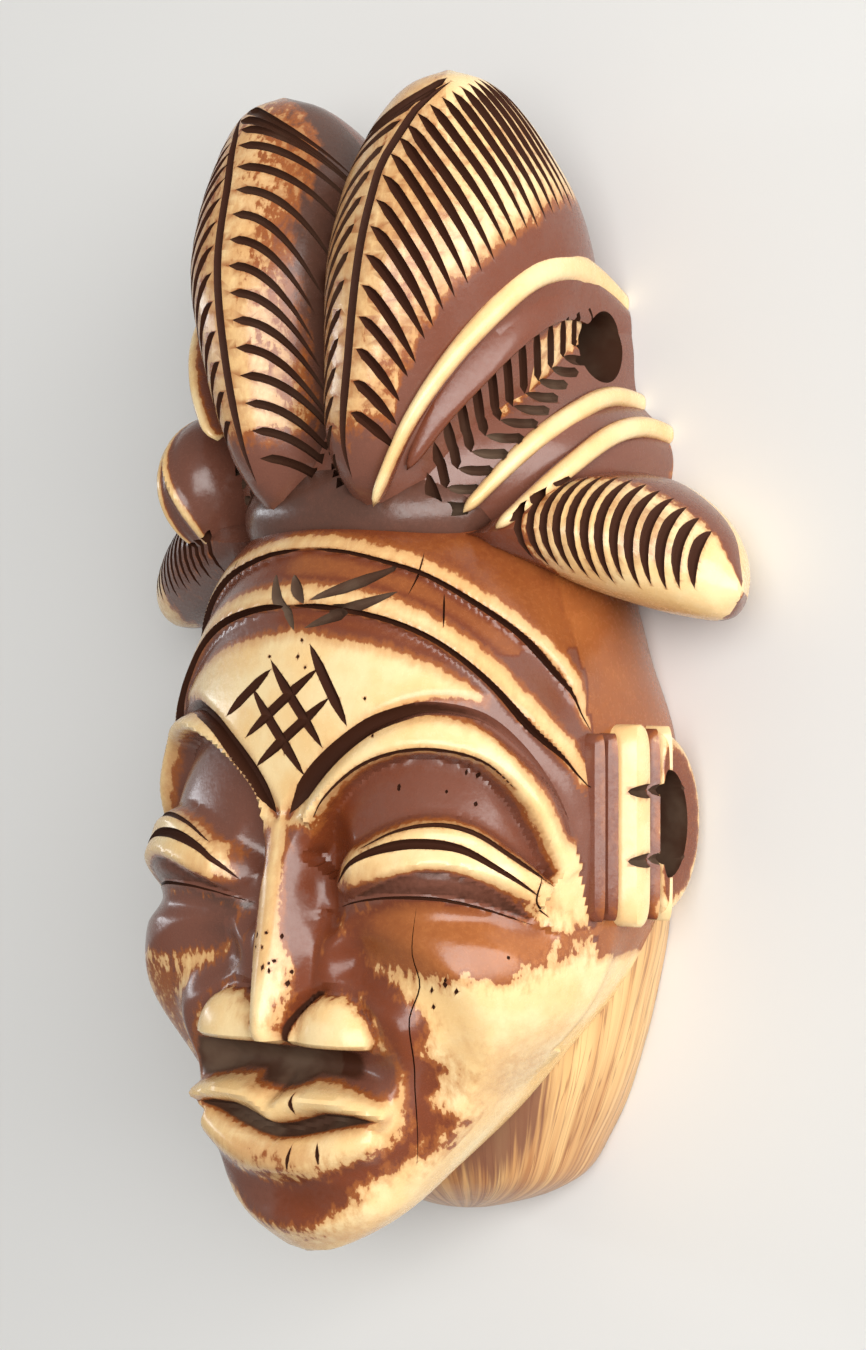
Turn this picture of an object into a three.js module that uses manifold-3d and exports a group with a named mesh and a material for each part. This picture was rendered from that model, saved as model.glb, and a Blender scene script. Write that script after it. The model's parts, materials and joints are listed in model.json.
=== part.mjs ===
// A miniature mask carved from one block: a long face under bands of dressed hair, two tall
// fluted coils above the brow, a fan of cords and a scooped side coil over each temple.
// It lies on its flat back with the face up: X runs across, +Y from chin to crown and +Z the way
// it looks. All sizes are in millimetres. The far half mirrors the near half, which is +X.
import * as THREE from 'three';
import { mergeVertices } from 'three/addons/utils/BufferGeometryUtils.js';
import Module from 'manifold-3d';

const wasm = await Module();
wasm.setup();

// Driving dimensions of the head. A profile is a smooth curve through [level, size] knots.
const CHIN = -49.7;
const HEAD_TOP = 16;
const headWidth = profile([[-49.7, 6], [-47, 8], [-43, 10.5], [-38, 14], [-33, 17], [-28, 19.6],
  [-22, 21.4], [-14, 22], [-7, 21.5], [0, 20.2], [6, 18.6], [12, 16], [16, 13.5]]);
const headFront = profile([[-49.7, 27.5], [-47, 30.2], [-43, 30.8], [-38, 30.6], [-33, 30],
  [-28, 29.8], [-22, 29.8], [-14, 30], [-4, 29.6], [2, 28.6], [8, 27], [12, 25], [16, 22]]);
const headMiddle = profile([[-49.7, 26.5], [-47, 25], [-43, 23], [-38, 20], [-33, 17.5],
  [-28, 14.8], [-22, 12.5], [-14, 11], [-4, 9.8], [4, 9.5], [12, 9], [16, 8.5]]);
const headSquareness = profile([[-49.7, 2.1], [-38, 2.4], [-30, 2.7], [-22, 2.9], [-12, 2.8],
  [-4, 2.3], [2, 2.05], [20, 2]]);
const backSquareness = profile([[-49.7, 3], [-13, 3], [-7, 2.6], [0, 2], [20, 2]]);

// The neck behind the jaw.
const NECK_FOOT = -49.5;
const NECK_TOP = 0;
const NECK_MIDDLE = 4;
const NECK_DEEP = 13;
const NECK_FULL = 16;
const neckWidth = profile([[-49.5, 0], [-49.2, 2.8], [-48.6, 5.2], [-47.4, 8.8], [-45.5, 12],
  [-42, 14.2], [-38, 16.2], [-33.3, 17.9], [-28, 19.3], [-23, 20.4], [-14, 20.8], [-4, 18.8], [0, 17]]);

// The two tall coils, which lean on each other over the middle.
const COIL_ROOT = 8;
const COIL_TOP = 49.7;
const coilCentre = profile([[8, 5], [17, 5.3], [25, 6.6], [33, 7.6], [43, 8.2], [49.7, 9]]);
const coilWidth = profile([[8, 2], [12, 3.8], [17, 6.4], [25, 8.3], [33, 9.5], [39, 8.8], [43, 7.4],
  [46.5, 5.5], [48.6, 3.4], [49.7, 0.3]]);
const coilFront = profile([[8, 20.5], [12, 24], [14.5, 26.6], [18, 28.6], [25, 29.4], [33, 29.3],
  [39, 27.8], [43, 26], [46.5, 23.8], [48.6, 21.6], [49.7, 19]]);
const coilBack = profile([[8, -6], [25, -2], [33, -0.5], [39, 2.5], [43, 6.4], [46.5, 11],
  [48.6, 15], [49.7, 18.4]]);

// The flutes of a coil leave its rib at one level and turn, and end at another, over the share of the
// way from crown to root. Turns are in degrees about the coil, 90 straight in front.
const OUTER_FLUTES = 13;
const INNER_FLUTES = 8;
const INNER_FLUTE_DROP = 4.5;
const INNER_FLUTE_TURNS = [94, 138];
const ribTurn = profile([[16, 90], [40, 89], [43.5, 84], [46.2, 76], [48, 54]]);
const fluteHeadLevel = profile([[0, 48.8], [0.1, 48.2], [0.25, 45.9], [0.4, 42.2], [0.55, 37],
  [0.7, 31.6], [0.85, 26], [1, 20.2]]);
const fluteHeadTurn = profile([[0, -19], [0.1, 18], [0.2, 51], [0.3, 72], [0.4, 82], [1, 86]]);
const fluteFootLevel = profile([[0, 38.8], [0.1, 37.8], [0.25, 34.6], [0.4, 31], [0.55, 28.2],
  [0.7, 25], [0.85, 21.6], [1, 17.2]]);
const fluteFootTurn = profile([[0, -34], [0.1, -8], [0.25, 28], [0.4, 50], [0.55, 62], [0.7, 68],
  [0.85, 73], [1, 75]]);
const innerFluteLevel = profile([[0, 48.4], [0.2, 44.5], [1, 17]]);

// The fan of cords behind the coils, with the herringbone panel between them.
const FAN_ROOT = 8;
const FAN_TOP = 38;
const FAN_SQUARENESS = 2.1;
const fanWidth = profile([[8, 16], [12, 18.5], [17, 20], [19.9, 19.2], [23, 16.4], [28, 15.8],
  [31.9, 15], [34.5, 13], [36.5, 10], [38, 7]]);
const fanFront = profile([[8, 23], [12, 24.3], [17, 24], [24, 22], [31, 18.5], [36, 13.5], [38, 9]]);
const fanMiddle = profile([[8, 4], [38, 3]]);
const UPPER_CORD = [[6.6, 12.6, 26], [9.8, 19, 25.6], [12.6, 24, 24], [15, 28.6, 20.8],
  [16.2, 32, 16.6], [15.9, 33.4, 11], [14.8, 32.9, 5], [13.6, 31, -2]];
const MIDDLE_CORD = [[12, 12.2, 20.8], [15.4, 17.7, 16.5], [16.7, 21, 11.2], [16.5, 22.8, 5.4],
  [15.5, 22.6, -2]];
const LOWER_CORD = [[15.2, 10.8, 20.6], [18.2, 16, 14.6], [19.2, 19, 9.6], [19.2, 20.1, 4.5],
  [18.4, 19.6, -2]];
const UPPER_CORD_RADIUS = 1.3;
const LOWER_CORD_RADIUS = 1.1;
const PANEL_SPINE = [[11.3, 16.5, 20], [13.3, 21, 16], [14.7, 25, 11.4], [15.4, 28, 7.2]];
const CHEVRONS = 6;

// On the far side only, one more roll of hair swells between the fan and the side coil.
const FAR_ROLL_MIDDLE = [-18.3, 16, 16.6];
const FAR_ROLL_HALF = [4.6, 6.4, 6];

// The scooped coil over each temple, from its root beside the brow out to its tip.
const SCOOP_ROOT = 11;
const SCOOP_TIP = 32;
const SCOOP_FLUTES = 8;
const SCOOP_FLUTE_TURNS = [24, 128];
const FIRST_SCOOP_FLUTE = 17;
const SCOOP_FLUTE_SPREAD = 13.6;
const SCOOP_FLUTE_TWIST = 16;
const scoopTop = profile([[11, 11], [14, 13], [18, 15.6], [22, 15.8], [26, 14], [30, 10.5], [32, 6.5]]);
const scoopFoot = profile([[11, 10], [14, 8], [18, 6], [22, 4.6], [26, 3.6], [30, 3.3], [32, 5]]);
const scoopFront = profile([[11, 20], [14, 20.4], [18, 19.6], [22, 18], [26, 15.6], [30, 12.4],
  [32, 10]]);
const scoopBack = profile([[11, -4], [22, -2], [27, 1], [30, 4.5], [32, 9]]);

// The ear is a block of upright bars with a half ring behind them.
const EAR_TOP = -6.4;
const EAR_FOOT = -22;
const EAR_ROOT = 17;
const EAR_FACE = 23.7;
const BAR_FACE = 22.9;
const BAR_FRONT = 17.6;
const PLATE_FRONT = 14.2;
const RING_CENTRE = 6.8;
const RING_DEEP = 5.6;
const RING_THICK = 1.9;
const BAR_GROOVE = 15.9;
const PLATE_GROOVE = 8.8;
const GOUGE_LEVELS = [-11.3, -17.2];

// The cord hole runs right through behind the coils.
const HOLE_RADIUS = 3.1;
const HOLE_LEVEL = 27.2;
const HOLE_HEIGHT = 5.3;
const HOLE_LENGTH = 60;

// Lines on the head, as points [across, up]. A third number is the height of a point that lies
// round the side.
const BAND_UPPER = [[0, 10.4], [4, 10], [7.6, 9.1], [10.6, 8], [13.9, 5.8], [16.9, 3], [19.2, -0.4],
  [20.8, -5, 15]];
const BAND_LOWER = [[0, 6.2], [4, 5.9], [8.8, 4.8], [12.4, 3], [15.8, 0], [18.9, -4], [21.3, -9, 16]];
const BAND_EDGE = [[0, 2.8], [5.2, 2.8], [10.4, 1.8], [13.9, 0], [17.3, -3.4], [20.2, -8],
  [21.6, -12, 17]];
const BROW_GROOVE = [[0.7, -12.8], [3.9, -8.9], [7.8, -5.4], [10.3, -4.3], [12.9, -3.8],
  [16.4, -4.8], [18.8, -7.2], [20.6, -10.4, 20], [21.5, -13.4, 18.5]];
const BROW_CREST = [[1.6, -14], [3.2, -11.2], [6.6, -7.8], [10.4, -6], [13.2, -5.7], [16.3, -6.8],
  [19, -9.6], [20.9, -13.4, 20], [21.6, -17.4, 18]];
const SOCKET = [[4.4, -15.4], [7.4, -12.2], [11.6, -10.6], [15.2, -11], [18.2, -13], [20, -16, 21.5]];
const LID_CREST = [[5, -19], [6.2, -17.2], [8.6, -15.2], [12, -13.8], [14.9, -13.8], [17.6, -14.9],
  [20, -17.2, 22.5], [21.2, -19.4, 19]];
const LID_GROOVE = [[5.6, -18.6], [7.4, -16.9], [10, -15.7], [12.9, -15.2], [16, -15.6],
  [18.3, -17.2], [20, -19.4, 22]];
const EYE_LINE = [[4.9, -20.6], [7.6, -19.8], [11.1, -19.3], [14.9, -19.4], [18, -20.3],
  [20.2, -21.6, 22]];
const LAUGH_LINE = [[4.6, -23], [7.6, -24.6], [11.4, -26.2], [13.6, -28.6], [14, -32], [12.6, -37],
  [9.6, -43]];
const UPPER_LIP = [[0, -37.2], [2, -36.2], [4.6, -36.2], [7.4, -36.8], [9.8, -37.6]];
const MOUTH = [[0, -38.9], [2, -38.5], [4.6, -37.9], [7.4, -37.7], [9.6, -37.9]];
const LOWER_LIP = [[0, -41.2], [3, -40.9], [6, -39.9], [8.8, -38.6]];
const NET = [[[-3.8, -2.3], [2.4, -9.6]], [[-2, 0], [4.2, -7.3]], [[2, 1.3], [6.4, -5.5]],
  [[-1.8, -0.8], [-6.8, -4.8]], [[3.2, -0.7], [-4.2, -6.6]], [[4.6, -3.1], [-2.9, -9]]];
const NOSE_FOOT = -31.8;
const noseHeight = profile([[-31.8, 3.2], [-30.6, 3.8], [-28, 3.6], [-24, 2.7], [-19, 1.6],
  [-15, 0.4], [-11, 0]]);
const noseWidth = profile([[-32, 3], [-28, 3.7], [-24, 4], [-18, 3.1], [-11, 2.3]]);

const DEGREE = Math.PI / 180;

function profile(knots) {
  const last = knots.length - 1;
  const slope = (i) => {
    const a = knots[Math.max(i - 1, 0)];
    const b = knots[Math.min(i + 1, last)];
    return (b[1] - a[1]) / (b[0] - a[0]);
  };
  return (t) => {
    let i = 0;
    while (i < last - 1 && t > knots[i + 1][0]) i += 1;
    const span = knots[i + 1][0] - knots[i][0];
    const s = Math.min(Math.max((t - knots[i][0]) / span, 0), 1);
    const rise = knots[i + 1][1] - knots[i][1];
    const bend = (1 - s) * (slope(i) * span - rise) - s * (slope(i + 1) * span - rise);
    return knots[i][1] + rise * s + s * (1 - s) * bend;
  };
}

// Turns a closed three.js geometry into a solid that can be joined and cut.
function solid(geometry) {
  geometry.deleteAttribute('normal');
  geometry.deleteAttribute('uv');
  const merged = mergeVertices(geometry);
  return new wasm.Manifold(new wasm.Mesh({
    numProp: 3,
    vertProperties: merged.attributes.position.array,
    triVerts: new Uint32Array(merged.index.array),
  }));
}

// A ball drawn out to a form. place() takes the share of the way from pole to pole and the turn.
function form(columns, rows, place) {
  const ball = new THREE.SphereGeometry(1, columns, rows);
  const p = ball.attributes.position;
  for (let i = 0; i < p.count; i += 1) {
    const rise = Math.acos(Math.min(Math.max(-p.getY(i), -1), 1)) / Math.PI;
    const atPole = rise < 1e-6 || rise > 1 - 1e-6;
    p.setXYZ(i, ...place(rise, atPole ? Math.PI / 2 : Math.atan2(p.getZ(i), p.getX(i))));
  }
  return solid(ball);
}

// Distance from the middle to the rim of a rounded box, in the direction of a turn.
function rim(turn, halfWidth, halfDepth, power) {
  const across = Math.abs(Math.cos(turn)) / Math.max(halfWidth, 1e-6);
  const deep = Math.abs(Math.sin(turn)) / Math.max(halfDepth, 1e-6);
  return (across ** power + deep ** power) ** (-1 / power);
}

// How full a form is near its two ends.
const roundedEnds = (rise, power) => (1 - Math.abs(2 * rise - 1) ** power) ** 0.5;

// A hump of height 1 that fades to nothing one half width away, and smooth steps and mounds.
const bell = (gap, halfWidth) => Math.max(0, 1 - (gap / halfWidth) ** 2) ** 2;
const mound = (x, y, halfX, halfY) => Math.max(0, 1 - (x / halfX) ** 2 - (y / halfY) ** 2) ** 1.5;
const ease = (t) => {
  const s = Math.min(Math.max(t, 0), 1);
  return s * s * (3 - 2 * s);
};

// The plain head under the carving.
function headSkin(y, turn) {
  const middle = headMiddle(y);
  const power = Math.sin(turn) > 0 ? headSquareness(y) : backSquareness(y);
  const r = rim(turn, headWidth(y), headFront(y) - middle, power);
  return [r * Math.cos(turn), y, middle + r * Math.sin(turn)];
}

// The turn about the head's middle at which a point of a line lies.
function turnAt([x, y, z]) {
  const middle = headMiddle(y);
  if (z !== undefined) return Math.atan2(z - middle, x);
  const across = Math.min(Math.abs(x) / headWidth(y), 0.97);
  const power = headSquareness(y);
  return Math.atan2((headFront(y) - middle) * (1 - across ** power) ** (1 / power), x);
}

// A line becomes a smooth run of stations on the plain head.
function run(points, count = 28) {
  const onSkin = points.map((point) => new THREE.Vector3(...headSkin(point[1], turnAt(point))));
  return new THREE.CatmullRomCurve3(onSkin, false, 'centripetal').getSpacedPoints(count - 1);
}

// How far a place is from a run: the gap to it, above it when positive, and the share of the way along.
function reach(place, stations) {
  const last = stations.length - 1;
  let found = 0;
  for (let i = 1; i <= last; i += 1) {
    if (stations[i].distanceToSquared(place) < stations[found].distanceToSquared(place)) found = i;
  }
  const ahead = stations[Math.min(found + 1, last)].clone();
  const along = ahead.sub(stations[Math.max(found - 1, 0)]).normalize();
  const off = place.clone().sub(stations[found]);
  if (found > 0 && found < last) off.addScaledVector(along, -off.dot(along));
  const out = new THREE.Vector3(place.x, 0, place.z - headMiddle(place.y)).normalize();
  const above = off.dot(out.cross(along)) < 0 ? -1 : 1;
  return { gap: off.length() * above, share: found / last };
}

const runs = Object.fromEntries(Object.entries({
  BAND_UPPER, BAND_LOWER, BAND_EDGE, BROW_CREST, SOCKET, LID_CREST, EYE_LINE, LAUGH_LINE,
  UPPER_LIP, LOWER_LIP,
}).map(([name, points]) => [name, run(points)]));

// The bands of hair over the brow stand proud along their upper edges.
function bandRelief(near) {
  const upper = reach(near, runs.BAND_UPPER);
  const lower = reach(near, runs.BAND_LOWER);
  const rib = (at) => bell(at.gap, 1.5) * (1 - ease((at.share - 0.9) * 10));
  return 0.6 * rib(upper) + 0.5 * rib(lower) - 0.3 * bell(reach(near, runs.BAND_EDGE).gap, 1.6);
}

// The brow ridge, the hollow under it, the lid and the eye.
function eyeRelief(near) {
  const brow = reach(near, runs.BROW_CREST);
  const socket = reach(near, runs.SOCKET);
  let out = 0.9 * bell(brow.gap, 1.7) * ease(brow.share * 9);
  out -= 2.3 * bell(socket.gap, 3.4) * (1 - 0.3 * socket.share);
  out += 0.9 * bell(reach(near, runs.LID_CREST).gap, 1.5);
  out += 1.2 * mound(near.x - 13, near.y + 18, 8.5, 3.4);
  out -= 0.9 * bell(reach(near, runs.EYE_LINE).gap + 0.5, 2);
  return out - 1.8 * mound(near.x - 4.2, near.y + 17.6, 3.2, 5.5);
}

// The nose with its wings, the hollow under it, and the cheek with the fold beside it.
function noseRelief(near) {
  const { x, y } = near;
  const laugh = reach(near, runs.LAUGH_LINE);
  let out = noseHeight(y) * bell(x, noseWidth(y)) * ease(y - NOSE_FOOT + 0.5);
  out += 2.3 * mound(x - 5, y + 29.7, 4.2, 2.8) * ease((y - NOSE_FOOT + 0.4) / 0.9);
  out -= 2.4 * bell(y + 33.6, 2.4) * (1 - ease((x - 7) / 4));
  out += 2.2 * mound(x - 17.5, y + 24, 7.5, 8);
  return out - 1.5 * bell(laugh.gap,
  3.6) * ease(laugh.share * 8) * (1 - 0.6 * ease((laugh.share - 0.6) * 3));
}

// The lips and the chin.
function mouthRelief(near) {
  const upper = reach(near, runs.UPPER_LIP);
  const lower = reach(near, runs.LOWER_LIP);
  let out = 1.7 * bell(upper.gap, 1.7) * (1 - ease((upper.share - 0.8) * 5));
  out += 2 * bell(lower.gap, 2.3) * (1 - ease((lower.share - 0.85) * 6));
  out -= 1.2 * mound(near.x, near.y + 44.6, 8, 2.6);
  return out + 0.8 * mound(near.x, near.y + 47.8, 6, 3);
}

// The carved skin of the head, with the way it faces.
function carvedHead(y, turn) {
  const plain = new THREE.Vector3(...headSkin(y, turn));
  const n = new THREE.Vector3(Math.cos(turn), 0, Math.sin(turn));
  const near = new THREE.Vector3(Math.abs(plain.x), y, plain.z);
  let out = 0;
  if (near.z > headMiddle(y) - 2) {
    out += noseRelief(near) + mouthRelief(near);
    if (y > -14) out += bandRelief(near);
    if (y > -23 && y < 2) out += eyeRelief(near);
  }
  return { p: plain.addScaledVector(n, out), n };
}

// Columns of the head stand close in the middle of the face, and wide apart behind.
const FRONT_SHARE = 0.84;
const FACE_CROWDING = 0.72;
const BOX_HALF_WIDTH = 22;
const BOX_HALF_DEPTH = 19;

function columnTurn(turn) {
  const u = ((turn + 2.5 * Math.PI) % (2 * Math.PI)) / Math.PI - 1;
  const s = Math.abs(u) / FRONT_SHARE;
  const quarter = BOX_HALF_WIDTH + BOX_HALF_DEPTH;
  const inFront = s * (FACE_CROWDING + (1 - FACE_CROWDING) * s);
  const d = quarter * (s < 1 ? inFront : 1 + (s - 1) * FRONT_SHARE / (1 - FRONT_SHARE));
  const x = Math.min(d, BOX_HALF_WIDTH, 2 * quarter - d);
  const z = Math.max(-BOX_HALF_DEPTH, Math.min(BOX_HALF_DEPTH, quarter - d));
  return Math.atan2(z, u > 0 ? -x : x);
}

function head() {
  return form(36, 38, (rise, turn) => {
    const y = CHIN + (HEAD_TOP - CHIN) * rise;
    const full = roundedEnds(rise, 14);
    const { p } = carvedHead(y, columnTurn(turn));
    return [p.x * full, y, headMiddle(y) + (p.z - headMiddle(y)) * full];
  });
}

// The neck keeps the round skin of the raw block.
function neck() {
  return form(20, 9, (rise, turn) => {
    const y = NECK_FOOT + (NECK_TOP - NECK_FOOT) * (1 - Math.cos(rise * Math.PI / 2));
    const a = rise < 1 ? neckWidth(y) : 0;
    return [a * Math.cos(turn), y, NECK_MIDDLE + Math.min(1, a / NECK_FULL) * NECK_DEEP * Math.sin(turn)];
  });
}

// The skin of a tall coil with the way it faces, on the near side for side 1 and the far side for -1.
function coilSkin(y, turn, side) {
  const a = coilWidth(y);
  const b = (coilFront(y) - coilBack(y)) / 2;
  const r = rim(turn, a, b, 2);
  const n = new THREE.Vector3(side * Math.cos(turn) / a ** 2, 0, Math.sin(turn) / b ** 2).normalize();
  const x = coilCentre(y) + r * Math.cos(turn);
  return { p: new THREE.Vector3(side * x, y, coilFront(y) - b + r * Math.sin(turn)), n };
}

function tallCoil(side) {
  return form(12, 12, (rise, turn) => {
    const y = COIL_ROOT + (COIL_TOP - COIL_ROOT) * (1 - Math.cos(rise * Math.PI)) / 2;
    const full = Math.min(1, Math.sin(rise * Math.PI) * 30);
    const { p } = coilSkin(y, side > 0 ? turn : Math.PI - turn, side);
    const middle = (coilFront(y) + coilBack(y)) / 2;
    const centre = side * coilCentre(y);
    return [centre + (p.x - centre) * full, y, middle + (p.z - middle) * full];
  });
}

function fan() {
  return form(18, 9, (rise, turn) => {
    const y = FAN_ROOT + (FAN_TOP - FAN_ROOT) * rise;
    const r = rim(turn, fanWidth(y), fanFront(y) - fanMiddle(y), FAN_SQUARENESS) * roundedEnds(rise, 10);
    return [r * Math.cos(turn), y, fanMiddle(y) + r * Math.sin(turn)];
  });
}

function farRoll() {
  const [x, y, z] = FAR_ROLL_MIDDLE;
  const [halfX, halfY, halfZ] = FAR_ROLL_HALF;
  return solid(new THREE.SphereGeometry(1, 10, 7).scale(halfX, halfY, halfZ).translate(x, y, z));
}

function scoopSkin(x, turn, side) {
  const a = (scoopTop(x) - scoopFoot(x)) / 2;
  const b = (scoopFront(x) - scoopBack(x)) / 2;
  const r = rim(turn, a, b, 2);
  const n = new THREE.Vector3(0, Math.cos(turn) / a ** 2, Math.sin(turn) / b ** 2).normalize();
  const y = (scoopTop(x) + scoopFoot(x)) / 2 + r * Math.cos(turn);
  return { p: new THREE.Vector3(side * x, y, (scoopFront(x) + scoopBack(x)) / 2 + r * Math.sin(turn)), n };
}

function scoop(side) {
  return form(10, 8, (rise, turn) => {
    const x = SCOOP_ROOT + (SCOOP_TIP - SCOOP_ROOT) * (1 - Math.cos(rise * Math.PI)) / 2;
    const full = Math.min(1, Math.sin(rise * Math.PI) * 30);
    const { p } = scoopSkin(x, -side * turn, side);
    const y = (scoopTop(x) + scoopFoot(x)) / 2;
    const z = (scoopFront(x) + scoopBack(x)) / 2;
    return [side * x, y + (p.y - y) * full, z + (p.z - z) * full];
  });
}

// A raised cord laid along points beside the coil, half sunk in what lies under it.
function cord(points, radius, side) {
  const route = points.map(([x, y, z]) => new THREE.Vector3(side * x, y, z));
  const extrudePath = new THREE.CatmullRomCurve3(route);
  const section = new THREE.Shape().absarc(0, 0, radius, 0, 2 * Math.PI);
  const shape = { steps: 5, curveSegments: 3, bevelEnabled: false, extrudePath };
  return solid(new THREE.ExtrudeGeometry(section, shape));
}

function cords(side) {
  return [
    cord(UPPER_CORD, UPPER_CORD_RADIUS, side),
    cord(MIDDLE_CORD, LOWER_CORD_RADIUS, side),
    cord(LOWER_CORD, LOWER_CORD_RADIUS, side),
  ];
}

// A slab of the ear, from an outline of [height, up] corners.
function slab(outline, hole, face, side) {
  const corners = outline.map(([z, y]) => new THREE.Vector2(-side * z, y));
  const shape = new THREE.Shape(THREE.ShapeUtils.isClockWise(corners) ? corners.reverse() : corners);
  if (hole) shape.holes.push(new THREE.Path(hole.map(([z, y]) => new THREE.Vector2(-side * z, y))));
  const block = new THREE.ExtrudeGeometry(shape, { depth: face - EAR_ROOT, bevelEnabled: false });
  return solid(block.translate(0, 0, EAR_ROOT).rotateY(side * Math.PI / 2));
}

function halfRing(halfDeep, halfTall, sides) {
  const middle = (EAR_TOP + EAR_FOOT) / 2;
  return Array.from({ length: sides + 1 }, (_, i) => {
    const turn = Math.PI * i / sides;
    return [RING_CENTRE - halfDeep * Math.sin(turn), middle + halfTall * Math.cos(turn)];
  });
}

function ear(side) {
  const half = (EAR_TOP - EAR_FOOT) / 2;
  const ring = halfRing(RING_DEEP, half, 10);
  const hollow = halfRing(RING_DEEP - RING_THICK, half - RING_THICK, 8);
  const bar = [[BAR_FRONT, EAR_TOP], [PLATE_FRONT - 1, EAR_TOP], [PLATE_FRONT - 1, EAR_FOOT],
    [BAR_FRONT, EAR_FOOT]];
  return slab([[PLATE_FRONT, EAR_TOP], ...ring, [PLATE_FRONT, EAR_FOOT]], hollow, EAR_FACE, side)
    .add(slab(bar, null, BAR_FACE, side));
}

// A V-shaped cut: a three-sided spindle laid along stations on the skin, pointed at both ends.
// Its floor may lean towards one of its two edges.
const LIFT = 0.7;

function cut(stations, width, depth, lean = 0) {
  const last = stations.length - 1;
  const spread = (width / 2) * (1 + LIFT / depth);
  return form(3, last, (rise, turn) => {
    const at = Math.round(rise * last);
    const { p, n } = stations[at];
    const v = p.clone();
    if (at === 0 || at === last) return v.toArray();
    const along = stations[at + 1].p.clone().sub(stations[at - 1].p);
    const across = new THREE.Vector3().crossVectors(along, n).normalize();
    const floor = Math.cos(turn) < -0.9;
    v.addScaledVector(n, floor ? -depth : LIFT);
    v.addScaledVector(across, floor ? lean * width / 2 : -Math.sign(Math.sin(turn)) * spread);
    return v.toArray();
  });
}

// Stations along a line on the carved head.
function onHead(points, count, side) {
  return run(points, count).map((at) => {
    const { p, n } = carvedHead(at.y, Math.atan2(at.z - headMiddle(at.y), at.x));
    return { p: new THREE.Vector3(side * p.x, p.y, p.z), n: new THREE.Vector3(side * n.x, 0, n.z) };
  });
}

// Stations on a straight way between two pairs of numbers.
function between(from, to, count, place) {
  return Array.from({ length: count }, (_, i) => {
    const s = i / (count - 1);
    return place(from[0] + (to[0] - from[0]) * s, from[1] + (to[1] - from[1]) * s);
  });
}

// Each band is undercut along its lower edge, the brows, lids and mouth are cut in, and a net of
// strokes is cut between the brows.
function faceCuts() {
  const lowered = (points, drop) => points.map(([x, y, z]) => [x, y - drop, z]);
  const onBrow = (x, y) => carvedHead(y, turnAt([x, y]));
  const cuts = NET.map(([from, to]) => cut(between(from, to, 3, onBrow), 1, 0.7));
  for (const side of [1, -1]) {
    cuts.push(cut(onHead(lowered(BAND_UPPER, 1.1), 8, side), 2, 0.9, -0.6 * side));
    cuts.push(cut(onHead(lowered(BAND_LOWER, 1.2), 8, side), 2.4, 1, -0.6 * side));
    cuts.push(cut(onHead(BROW_GROOVE, 9, side), 1.2, 0.85));
    cuts.push(cut(onHead(LID_GROOVE, 6, side), 0.9, 0.7));
    cuts.push(cut(onHead(MOUTH, 5, side), 1.5, 1.4));
  }
  return cuts;
}

// Flutes leave the rib of a coil towards each side.
function coilCuts(side) {
  const place = (y, turn) => coilSkin(y, turn * DEGREE, side);
  const cuts = [cut(between([47.6, 0], [19, 0], 5, (y) => place(y, ribTurn(y))), 1, 0.7)];
  for (let i = 0; i < OUTER_FLUTES; i += 1) {
    const u = i / (OUTER_FLUTES - 1);
    const from = [fluteHeadLevel(u), fluteHeadTurn(u)];
    cuts.push(cut(between(from, [fluteFootLevel(u), fluteFootTurn(u)], 4, place), 1, 0.8));
  }
  for (let i = 0; i < INNER_FLUTES; i += 1) {
    const y = innerFluteLevel(i / (INNER_FLUTES - 1));
    const [from, to] = INNER_FLUTE_TURNS;
    cuts.push(cut(between([y, from], [y - INNER_FLUTE_DROP, to], 3, place), 1, 0.8));
  }
  return cuts;
}

// The panel lies on the fan or on the coil, whichever stands out further.
function panelSkin(x, y, z, side) {
  const middle = fanMiddle(y);
  const out = new THREE.Vector2(x, z - middle).normalize();
  const a = coilWidth(y);
  const b = (coilFront(y) - coilBack(y)) / 2;
  const away = new THREE.Vector2(-coilCentre(y) / a, (middle - coilFront(y) + b) / b);
  const step = new THREE.Vector2(out.x / a, out.y / b);
  const half = away.dot(step) / step.lengthSq();
  const coil = Math.sqrt(Math.max(0, half ** 2 - (away.lengthSq() - 1) / step.lengthSq())) - half;
  const far = Math.max(coil, rim(out.angle(), fanWidth(y), fanFront(y) - middle, FAN_SQUARENESS));
  return {
    p: new THREE.Vector3(side * far * out.x, y, middle + far * out.y),
    n: new THREE.Vector3(side * out.x, 0, out.y),
  };
}

// Two rows of short strokes meet in a herringbone along the panel's spine.
function herringbone(side) {
  const spine = new THREE.CatmullRomCurve3(PANEL_SPINE.map((p) => new THREE.Vector3(...p)));
  const cuts = [];
  for (let i = 0; i < CHEVRONS; i += 1) {
    const { x, y, z } = spine.getPoint(i / (CHEVRONS - 1));
    const upper = [[x - 1.4, y + 3.6, z + 1], [x - 0.4, y + 1.8, z + 0.5], [x, y, z]];
    const lower = [[x, y - 0.2, z - 0.4], [x + 0.8, y - 0.2, z - 1.7], [x + 1.4, y, z - 3]];
    for (const stroke of [upper, lower]) cuts.push(cut(stroke.map((p) => panelSkin(...p, side)), 1, 0.7));
  }
  return cuts;
}

// Flutes run down over the front of a side coil, fanned a little.
function scoopCuts(side) {
  const [top, foot] = SCOOP_FLUTE_TURNS;
  return Array.from({ length: SCOOP_FLUTES }, (_, i) => {
    const u = i / (SCOOP_FLUTES - 1);
    const x = FIRST_SCOOP_FLUTE + SCOOP_FLUTE_SPREAD * u;
    const fanned = (1.6 - u) / 2;
    const twist = SCOOP_FLUTE_TWIST * (1 - u);
    const place = (at, turn) => scoopSkin(at, turn * DEGREE, side);
    return cut(between([x - fanned, top + twist], [x + fanned, foot + twist], 3, place), 1, 0.9);
  });
}

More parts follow.
